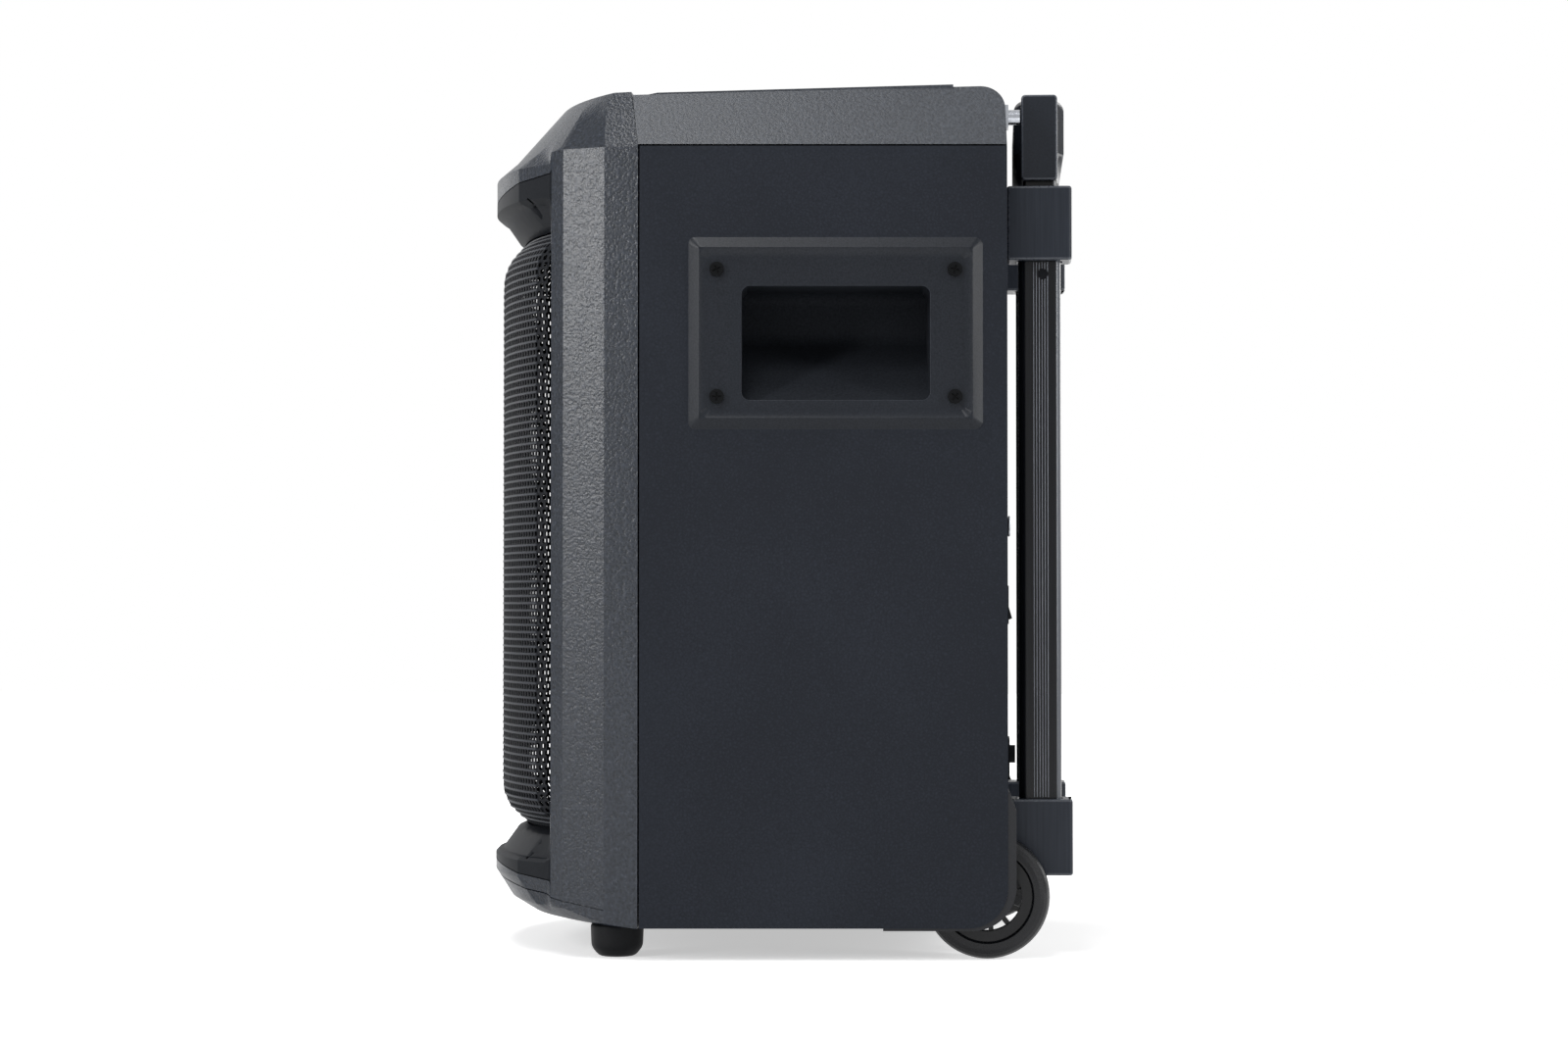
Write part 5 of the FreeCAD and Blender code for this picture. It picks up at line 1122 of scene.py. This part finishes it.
@dataclass
class SideHandles:
    """Pocket handles with soft edges and a painted highlight on them, a duller pocket finish as
    painted shade, and black rings round the screws as the counterbores' painted shade.
    """

    face_x: float = 157.8 * MM
    centre_y: float = 41.25 * MM
    centre_z: float = 376.7 * MM
    depth_from: float = 5.0 * MM
    screw_reach: tuple[float, float] = (71.5 * MM, 38.2 * MM)
    ring_radius: float = 5.0 * MM
    ring_thick: float = 0.45 * MM
    ring_sunk: float = 0.2 * MM
    edge_radius: float = 0.8 * MM
    lean_degrees: float = 3.486

    def screw_shade_rings(self, side: int, owner: str) -> bpy.types.Object:
        """Build black rings round one handle's screws: painted shade that stands in for the
        counterbores.

        Args:
            side: one for the right-hand side, minus one for the left.
            owner: name of the handle piece, for the rings' name.

        Returns:
            All four rings of one handle.
        """
        rings = []
        lean = math.radians(self.lean_degrees)
        for u in (-self.screw_reach[0], self.screw_reach[0]):
            for v in (-self.screw_reach[1], self.screw_reach[1]):
                clear_selection()
                bpy.ops.mesh.primitive_torus_add(
                    major_segments=36, minor_segments=8, major_radius=self.ring_radius,
                    minor_radius=self.ring_thick,
                    location=(side * (self.face_x - u * math.sin(lean) - self.ring_sunk),
                              self.centre_y + u * math.cos(lean), self.centre_z + v),
                    rotation=(0, math.radians(90), side * lean))
                rings.append(bpy.context.object)
        piece = join_all(rings, f"{owner}_screw_shade_rings")
        settle(piece)
        clean(piece)
        return piece

    def build(self, nodes: dict[str, bpy.types.Object]) -> None:
        """Soften both handles and give their pockets a duller finish, painted shade for the
        recess.

        Args:
            nodes: the frame's node objects by name.
        """
        # The handles' rounded edges take a lighter finish, a painted highlight.
        for side, name in ((1, "pocket_handle_right"), (-1, "pocket_handle_left")):
            piece = soften(nodes, name, self.edge_radius, SPEAKER, HANDLE_ABS,
                           edge=HANDLE_EDGE_HIGHLIGHT)
            # Painted shade: faces deep in the pocket take a rougher, less glossy finish so that
            # the recess reads darker.
            add_slot_where(piece, HANDLE_POCKET_SHADE, lambda face, side=side:
                           side * face.center.x < self.face_x - self.depth_from)
            # Black rings in the panel's finish: painted shade of the counterbores round the
            # screws.
            rings = ride(self.screw_shade_rings(side, piece.name), SPEAKER, PANEL_BLACK_AND_SHADE)
            LOG.info("%s: %d faces", rings.name, len(rings.data.polygons))


# ------------------------------------------------------------------ control panel

@dataclass
class PanelMarks:
    """Printed scale ticks, plain symbols and the knobs' flutes and pointers."""

    centre_y: float = 20.55 * MM
    deck_z: float = 528.24 * MM
    tilt_degrees: float = 1.603
    ink_height: float = 0.15 * MM
    panel_proud: float = 1.0 * MM
    knob_top: float = 8.4 * MM
    # Body, place across and up the panel, and radius of each knob, in millimetres.
    knobs: tuple[tuple[str, float, float, float], ...] = (
        ("volume_dial", 0.0, 28.0, 17.0), ("mic_dial", -62.0, 28.0, 9.5),
        ("echo_dial", 62.0, 28.0, 9.5))
    # Places across and up the panel, in millimetres.
    button_x: tuple[float, ...] = (-54.0, -27.0, 0.0, 27.0, 54.0)
    button_bodies: tuple[str, ...] = ("power_key", "source_key", "play_key", "light_key",
                                      "bass_key")
    button_y: float = -58.0
    button_top: float = 1.8 * MM
    # Ticks in millimetres and degrees: the scale spans what a stopped knob turns.
    tick_count: int = 11
    first_tick: int = -150
    tick_step: int = 30
    tick_gap: float = 4.0
    tick_width: float = 0.7
    tick_lengths: tuple[float, float] = (2.6, 1.7)
    # Pointer: width in metres, then its length and its middle as shares of the radius.
    pointer_width: float = 1.0 * MM
    pointer_length: float = 0.45
    pointer_middle: float = 0.6
    # Flutes: radius, length, place under the knob's top, and how deep they sit in
    # millimetres; how many there are for each millimetre of radius, and at least.
    flute_radius: float = 0.5 * MM
    flute_length: float = 5.0 * MM
    flute_under: float = 3.6 * MM
    flute_sunk: float = 0.1
    flute_density: float = 1.8
    fewest_flutes: int = 18
    symbol_radius: tuple[float, float] = (1.6 * MM, 1.7 * MM)
    symbol_line: float = 0.22 * MM
    # Bars of each button's symbol: width, height, shift across and up in millimetres, turn
    # in degrees. The first symbol also has a ring, the third a triangle.
    symbol_bars: tuple[tuple[tuple[float, float, float, float, float], ...], ...] = (
        ((0.45, 1.7, 0.0, 1.5, 0.0),),
        ((3.4, 0.45, 0.0, -0.9, 0.0), (3.4, 0.45, 0.0, 0.9, 0.0)),
        ((0.5, 3.0, 2.6, 0.0, 0.0),),
        tuple((0.4, 3.6, 0.0, 0.0, turn) for turn in (0.0, 45.0, 90.0, 135.0)),
        ((0.6, 1.4, -1.2, -1.0, 0.0), (0.6, 2.4, 0.0, -0.5, 0.0), (0.6, 3.4, 1.2, 0.0, 0.0)),
    )

    def lay(self, piece: bpy.types.Object, u: float, v: float, rise: float,
            turn: float = 0.0) -> bpy.types.Object:
        """Lay a flat piece on the panel.

        Args:
            piece: piece made flat about its own origin.
            u: place across the panel in millimetres.
            v: place up the panel in millimetres, towards the rear.
            rise: height over the panel in metres.
            turn: turn about the panel's normal in radians.

        Returns:
            The same piece with its place in its mesh.
        """
        tilt = Matrix.Rotation(math.radians(self.tilt_degrees), 4, "X")
        place = (Matrix.Translation((0, self.centre_y, self.deck_z)) @ tilt
                 @ Matrix.Translation((u * MM, v * MM, rise)) @ Matrix.Rotation(turn, 4, "Z"))
        piece.data.transform(place)
        return piece

    def bar(self, width: float, height: float, thick: float) -> bpy.types.Object:
        """Flat bar centred on the origin.

        Args:
            width: size across.
            height: size up the panel.
            thick: size along the panel's normal.

        Returns:
            The bar.
        """
        half = Vector((width / 2, height / 2, thick / 2))
        return rounded_block("mark", -half, half, 0.0)

    def ticks(self) -> bpy.types.Object:
        """Build the scale ticks round each knob, every fifth one longer."""
        marks = []
        for _, u, v, radius in self.knobs:
            for index in range(self.tick_count):
                angle = math.radians(self.first_tick + self.tick_step * index)
                reach = radius + self.tick_gap
                length = self.tick_lengths[0 if index % 5 == 0 else 1]
                mark = self.bar(self.tick_width * MM, length * MM, self.ink_height)
                marks.append(self.lay(mark, u + reach * math.sin(angle),
                                      v + reach * math.cos(angle), self.panel_proud, -angle))
        piece = join_all(marks, "panel_scale_ticks")
        clean(piece)
        return piece

    def symbols(self, index: int) -> list[bpy.types.Object]:
        """Build the plain symbol of one button, flat about the button's middle.

        Args:
            index: place of the button from the left.

        Returns:
            The symbol's strokes.
        """
        strokes: list[bpy.types.Object] = []
        thick = self.ink_height * 2
        clear_selection()
        if index == 0:
            bpy.ops.mesh.primitive_torus_add(major_segments=24, minor_segments=6,
                                             major_radius=self.symbol_radius[0],
                                             minor_radius=self.symbol_line)
            strokes.append(bpy.context.object)
        elif index == 2:
            bpy.ops.mesh.primitive_cylinder_add(vertices=3, radius=self.symbol_radius[1],
                                                depth=thick,
                                                rotation=(0, 0, math.radians(-90)))
            settle(bpy.context.object)
            strokes.append(bpy.context.object)
        for width, height, across, up, turn in self.symbol_bars[index]:
            bar = self.bar(width * MM, height * MM, thick)
            bar.data.transform(Matrix.Translation((across * MM, up * MM, 0))
                               @ Matrix.Rotation(math.radians(turn), 4, "Z"))
            strokes.append(bar)
        return strokes

    def pointer(self, radius: float) -> bpy.types.Object:
        """White pointer line of a knob, about the knob's axis.

        Args:
            radius: the knob's radius in millimetres.

        Returns:
            The pointer.
        """
        mark = self.bar(self.pointer_width, radius * self.pointer_length * MM, self.ink_height)
        mark.data.transform(Matrix.Translation((0, radius * self.pointer_middle * MM, 0)))
        return mark

    def flutes(self, radius: float) -> bpy.types.Object:
        """Build the grip flutes round a knob's skirt, about the knob's axis.

        Args:
            radius: the knob's radius in millimetres.

        Returns:
            All flutes of one knob.
        """
        bars = []
        count = max(self.fewest_flutes, int(radius * self.flute_density))
        for index in range(count):
            clear_selection()
            bpy.ops.mesh.primitive_cylinder_add(vertices=8, radius=self.flute_radius,
                                                depth=self.flute_length)
            flute = bpy.context.object
            flute.data.transform(Matrix.Rotation(2 * math.pi * index / count, 4, "Z")
                                 @ Matrix.Translation(((radius - self.flute_sunk) * MM, 0,
                                                        -self.flute_under)))
            bars.append(flute)
        return join_all(bars, "knob_flutes")

    def build(self) -> None:
        """Build every mark and hang it on its body."""
        ride(self.ticks(), SPEAKER, INK)
        for body, u, v, radius in self.knobs:
            mark = self.lay(self.pointer(radius), u, v, self.knob_top)
            mark.name = f"{body}_pointer"
            clean(mark)
            ride(mark, body, INK)
            flutes = self.lay(self.flutes(radius), u, v, self.knob_top)
            flutes.name = f"{body}_flutes"
            clean(flutes)
            ride(flutes, body, KNOB_RUBBER)
        for index, (u, body) in enumerate(zip(self.button_x, self.button_bodies)):
            symbol = join_all(self.symbols(index), f"{body}_symbol")
            clean(symbol)
            self.lay(symbol, u, self.button_y, self.button_top)
            ride(symbol, body, INK)
        LOG.info("panel marks ready")


# ------------------------------------------------------------------ rear fittings

@dataclass
class RearFittings:
    """Threaded jack rings on the rear panel."""

    face_y: float = 144.15 * MM
    plate_lift: float = 1.6 * MM
    jack_z: float = 265.0 * MM
    ring_thick: float = 0.8 * MM
    # Place across the plate and ring radius of each jack, in millimetres.
    jacks: tuple[tuple[float, float], ...] = ((-57.6, 5.6), (-21.6, 5.6), (18.0, 3.4))

    def ring(self, x: float, radius: float) -> bpy.types.Object:
        """Round ring that faces the rear.

        Args:
            x: place across the plate.
            radius: radius of the ring's middle line.

        Returns:
            The ring.
        """
        clear_selection()
        bpy.ops.mesh.primitive_torus_add(
            major_segments=24, minor_segments=8, major_radius=radius,
            minor_radius=self.ring_thick,
            location=(x, self.face_y + self.plate_lift, self.jack_z),
            rotation=(math.radians(90), 0, 0))
        return bpy.context.object

    def build(self) -> None:
        """Build the rings."""
        nuts = [self.ring(x * MM, radius * MM) for x, radius in self.jacks]
        rings = join_all(nuts, "jack_rings")
        settle(rings)
        clean(rings)
        ride(rings, SPEAKER, ZINC_STEEL)
        LOG.info("rear fittings ready")


# ------------------------------------------------------------------ studio

@dataclass
class SoftBox:
    """One rectangular studio lamp."""

    name: str
    place: tuple[float, float, float]
    aim: tuple[float, float, float]
    size: tuple[float, float]
    power: float

    def build(self) -> None:
        """Hang the lamp and point it at its aim."""
        data = bpy.data.lights.new(self.name, "AREA")
        data.shape = "RECTANGLE"
        data.size, data.size_y = self.size
        data.energy = self.power
        lamp = bpy.data.objects.new(self.name, data)
        bpy.context.scene.collection.objects.link(lamp)
        lamp.location = self.place
        aim = Vector(self.aim) - Vector(self.place)
        lamp.rotation_euler = aim.to_track_quat("-Z", "Y").to_euler()


@dataclass
class Studio:
    """Pale floor, white surroundings, soft lamps and the camera."""

    camera_place: tuple[float, float, float] = (2.217, 0.13515, 0.214)
    yaw_degrees: float = 3.4746
    pitch_degrees: float = 1.3946
    lens: float = 78.93
    sensor: float = 36.0
    floor_half: float = 6.0
    ambient: float = 0.26
    far_clip: float = 50.0
    # The floor turns white between these distances from the middle.
    floor_fade: tuple[float, float] = (0.35, 1.1)
    floor_glow: tuple[float, float] = (0.5, 1.0)
    floor_colour: str = "#f4f4f4"
    lamps: list[SoftBox] = field(default_factory=lambda: [
        SoftBox("key_front_right", (1.73, -2.0, 1.12), (0.1, -0.1, 0.42), (0.3, 1.4), 38.0),
        SoftBox("overhead_front", (0.52, -0.38, 2.3), (0.0, 0.0, 0.45), (0.7, 0.55), 16.0),
        SoftBox("side_high", (1.5, -0.35, 2.3), (0.15, 0.05, 0.38), (0.8, 0.6), 17.0),
        SoftBox("rear_strip", (0.9, 2.0, 0.9), (0.1, 0.1, 0.3), (0.3, 1.6), 22.0),
        SoftBox("rear_left_fill", (-1.6, 1.4, 1.0), (0.0, 0.0, 0.3), (1.4, 1.4), 22.0),
        SoftBox("front_left_fill", (-1.4, -1.6, 1.0), (0.0, 0.0, 0.3), (1.4, 1.4), 10.0),
    ])

    def build(self) -> None:
        """Build the whole studio."""
        bpy.context.scene.view_settings.view_transform = "Standard"
        for lamp in self.lamps:
            lamp.build()
        self.make_world()
        self.make_floor()
        self.make_camera()

    def seen_directly(self, tree: bpy.types.NodeTree) -> bpy.types.NodeSocket:
        """One for rays from the camera, off gloss and through glass.

        Args:
            tree: node tree that takes the nodes.

        Returns:
            Socket with zero or one.
        """
        rays = add_node(tree, "ShaderNodeLightPath")
        first = add_node(tree, "ShaderNodeMath", {
            0: rays.outputs["Is Camera Ray"], 1: rays.outputs["Is Glossy Ray"]},
            operation="MAXIMUM")
        return add_node(tree, "ShaderNodeMath", {
            0: first.outputs[0], 1: rays.outputs["Is Transmission Ray"]},
            operation="MAXIMUM").outputs[0]

    def make_world(self) -> None:
        """White where it is seen, a level grey where it lights."""
        world = bpy.data.worlds.new("studio_white")
        bpy.context.scene.world = world
        world.use_nodes = True
        tree = world.node_tree
        tree.nodes.clear()
        strength = add_node(tree, "ShaderNodeMapRange", {
            "Value": self.seen_directly(tree), "To Min": self.ambient, "To Max": 1.0})
        back = add_node(tree, "ShaderNodeBackground", {
            "Color": (1, 1, 1, 1), "Strength": strength.outputs[0]})
        add_node(tree, "ShaderNodeOutputWorld", {"Surface": back.outputs[0]})

    def make_floor(self) -> None:
        """Pale floor that keeps the speaker's shadow and runs into the white."""
        clear_selection()
        bpy.ops.mesh.primitive_grid_add(x_subdivisions=2, y_subdivisions=2,
                                        size=2 * self.floor_half)
        floor = bpy.context.object
        floor.name = "studio_floor"
        made = bpy.data.materials.new("matt_white_studio_paper")
        made.use_nodes = True
        tree = made.node_tree
        tree.nodes.clear()
        diffuse = add_node(tree, "ShaderNodeBsdfDiffuse", {"Color": linear(self.floor_colour)})
        place = add_node(tree, "ShaderNodeTexCoord").outputs["Object"]
        away = add_node(tree, "ShaderNodeVectorMath", {0: place}, operation="LENGTH")
        fade = add_node(tree, "ShaderNodeMapRange", {
            "Value": away.outputs["Value"], "From Min": self.floor_fade[0],
            "From Max": self.floor_fade[1], "To Min": self.floor_glow[0],
            "To Max": self.floor_glow[1]}, interpolation_type="SMOOTHSTEP")
        glow_level = add_node(tree, "ShaderNodeMath", {
            0: self.seen_directly(tree), 1: fade.outputs["Result"]}, operation="MULTIPLY")
        glow = add_node(tree, "ShaderNodeEmission", {"Strength": glow_level.outputs[0]})
        both = add_node(tree, "ShaderNodeAddShader", {
            0: diffuse.outputs[0], 1: glow.outputs[0]})
        add_node(tree, "ShaderNodeOutputMaterial", {"Surface": both.outputs[0]})
        floor.data.materials.append(made)

    def make_camera(self) -> None:
        """Long lens at the speaker's right-hand side."""
        data = bpy.data.cameras.new("camera")
        data.lens = self.lens
        data.sensor_width = self.sensor
        data.clip_end = self.far_clip
        camera = bpy.data.objects.new("camera", data)
        bpy.context.scene.collection.objects.link(camera)
        yaw, pitch = math.radians(self.yaw_degrees), math.radians(self.pitch_degrees)
        look = Vector((-math.cos(yaw) * math.cos(pitch), -math.sin(yaw) * math.cos(pitch),
                       math.sin(pitch)))
        camera.location = self.camera_place
        camera.rotation_euler = look.to_track_quat("-Z", "Y").to_euler()
        bpy.context.scene.camera = camera


# ------------------------------------------------------------------ main

def dress_cad_nodes(nodes: dict[str, bpy.types.Object]) -> None:
    """Give every CAD node its finish.

    Args:
        nodes: the frame's node objects by name.
    """
    for finish, names in CAD_FINISHES.items():
        for name in names:
            dress(nodes[name], finish)
    bare = set(nodes) - {name for names in CAD_FINISHES.values() for name in names}
    if bare:
        raise ValueError(f"nodes with no finish: {sorted(bare)}")


def main() -> None:
    """Load the frame, dress it, build every sub-assembly and light it."""
    logging.basicConfig(level=logging.INFO, format="%(name)s: %(message)s")
    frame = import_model()
    Studio().build()
    LOG.info("studio ready")
    dress_cad_nodes(frame["nodes"])
    LOG.info("dressed %d CAD nodes", len(frame["nodes"]))
    Grille().build()
    NoseEnds().build(frame["nodes"])
    Trolley().build(frame["nodes"])
    SideHandles().build(frame["nodes"])
    PanelMarks().build()
    RearFittings().build()
    for name, radius, finish, slot in (
            ("wheel_housing_right", 1.6 * MM, HOUSING_ABS, "smooth_plastic"),
            ("wheel_housing_left", 1.6 * MM, HOUSING_ABS, "smooth_plastic"),
            ("front_feet", 2.2 * MM, FOOT_RUBBER, "foot_rubber")):
        soften(frame["nodes"], name, radius, SPEAKER, finish)
    clear_selection()


if __name__ == "__main__":
    main()
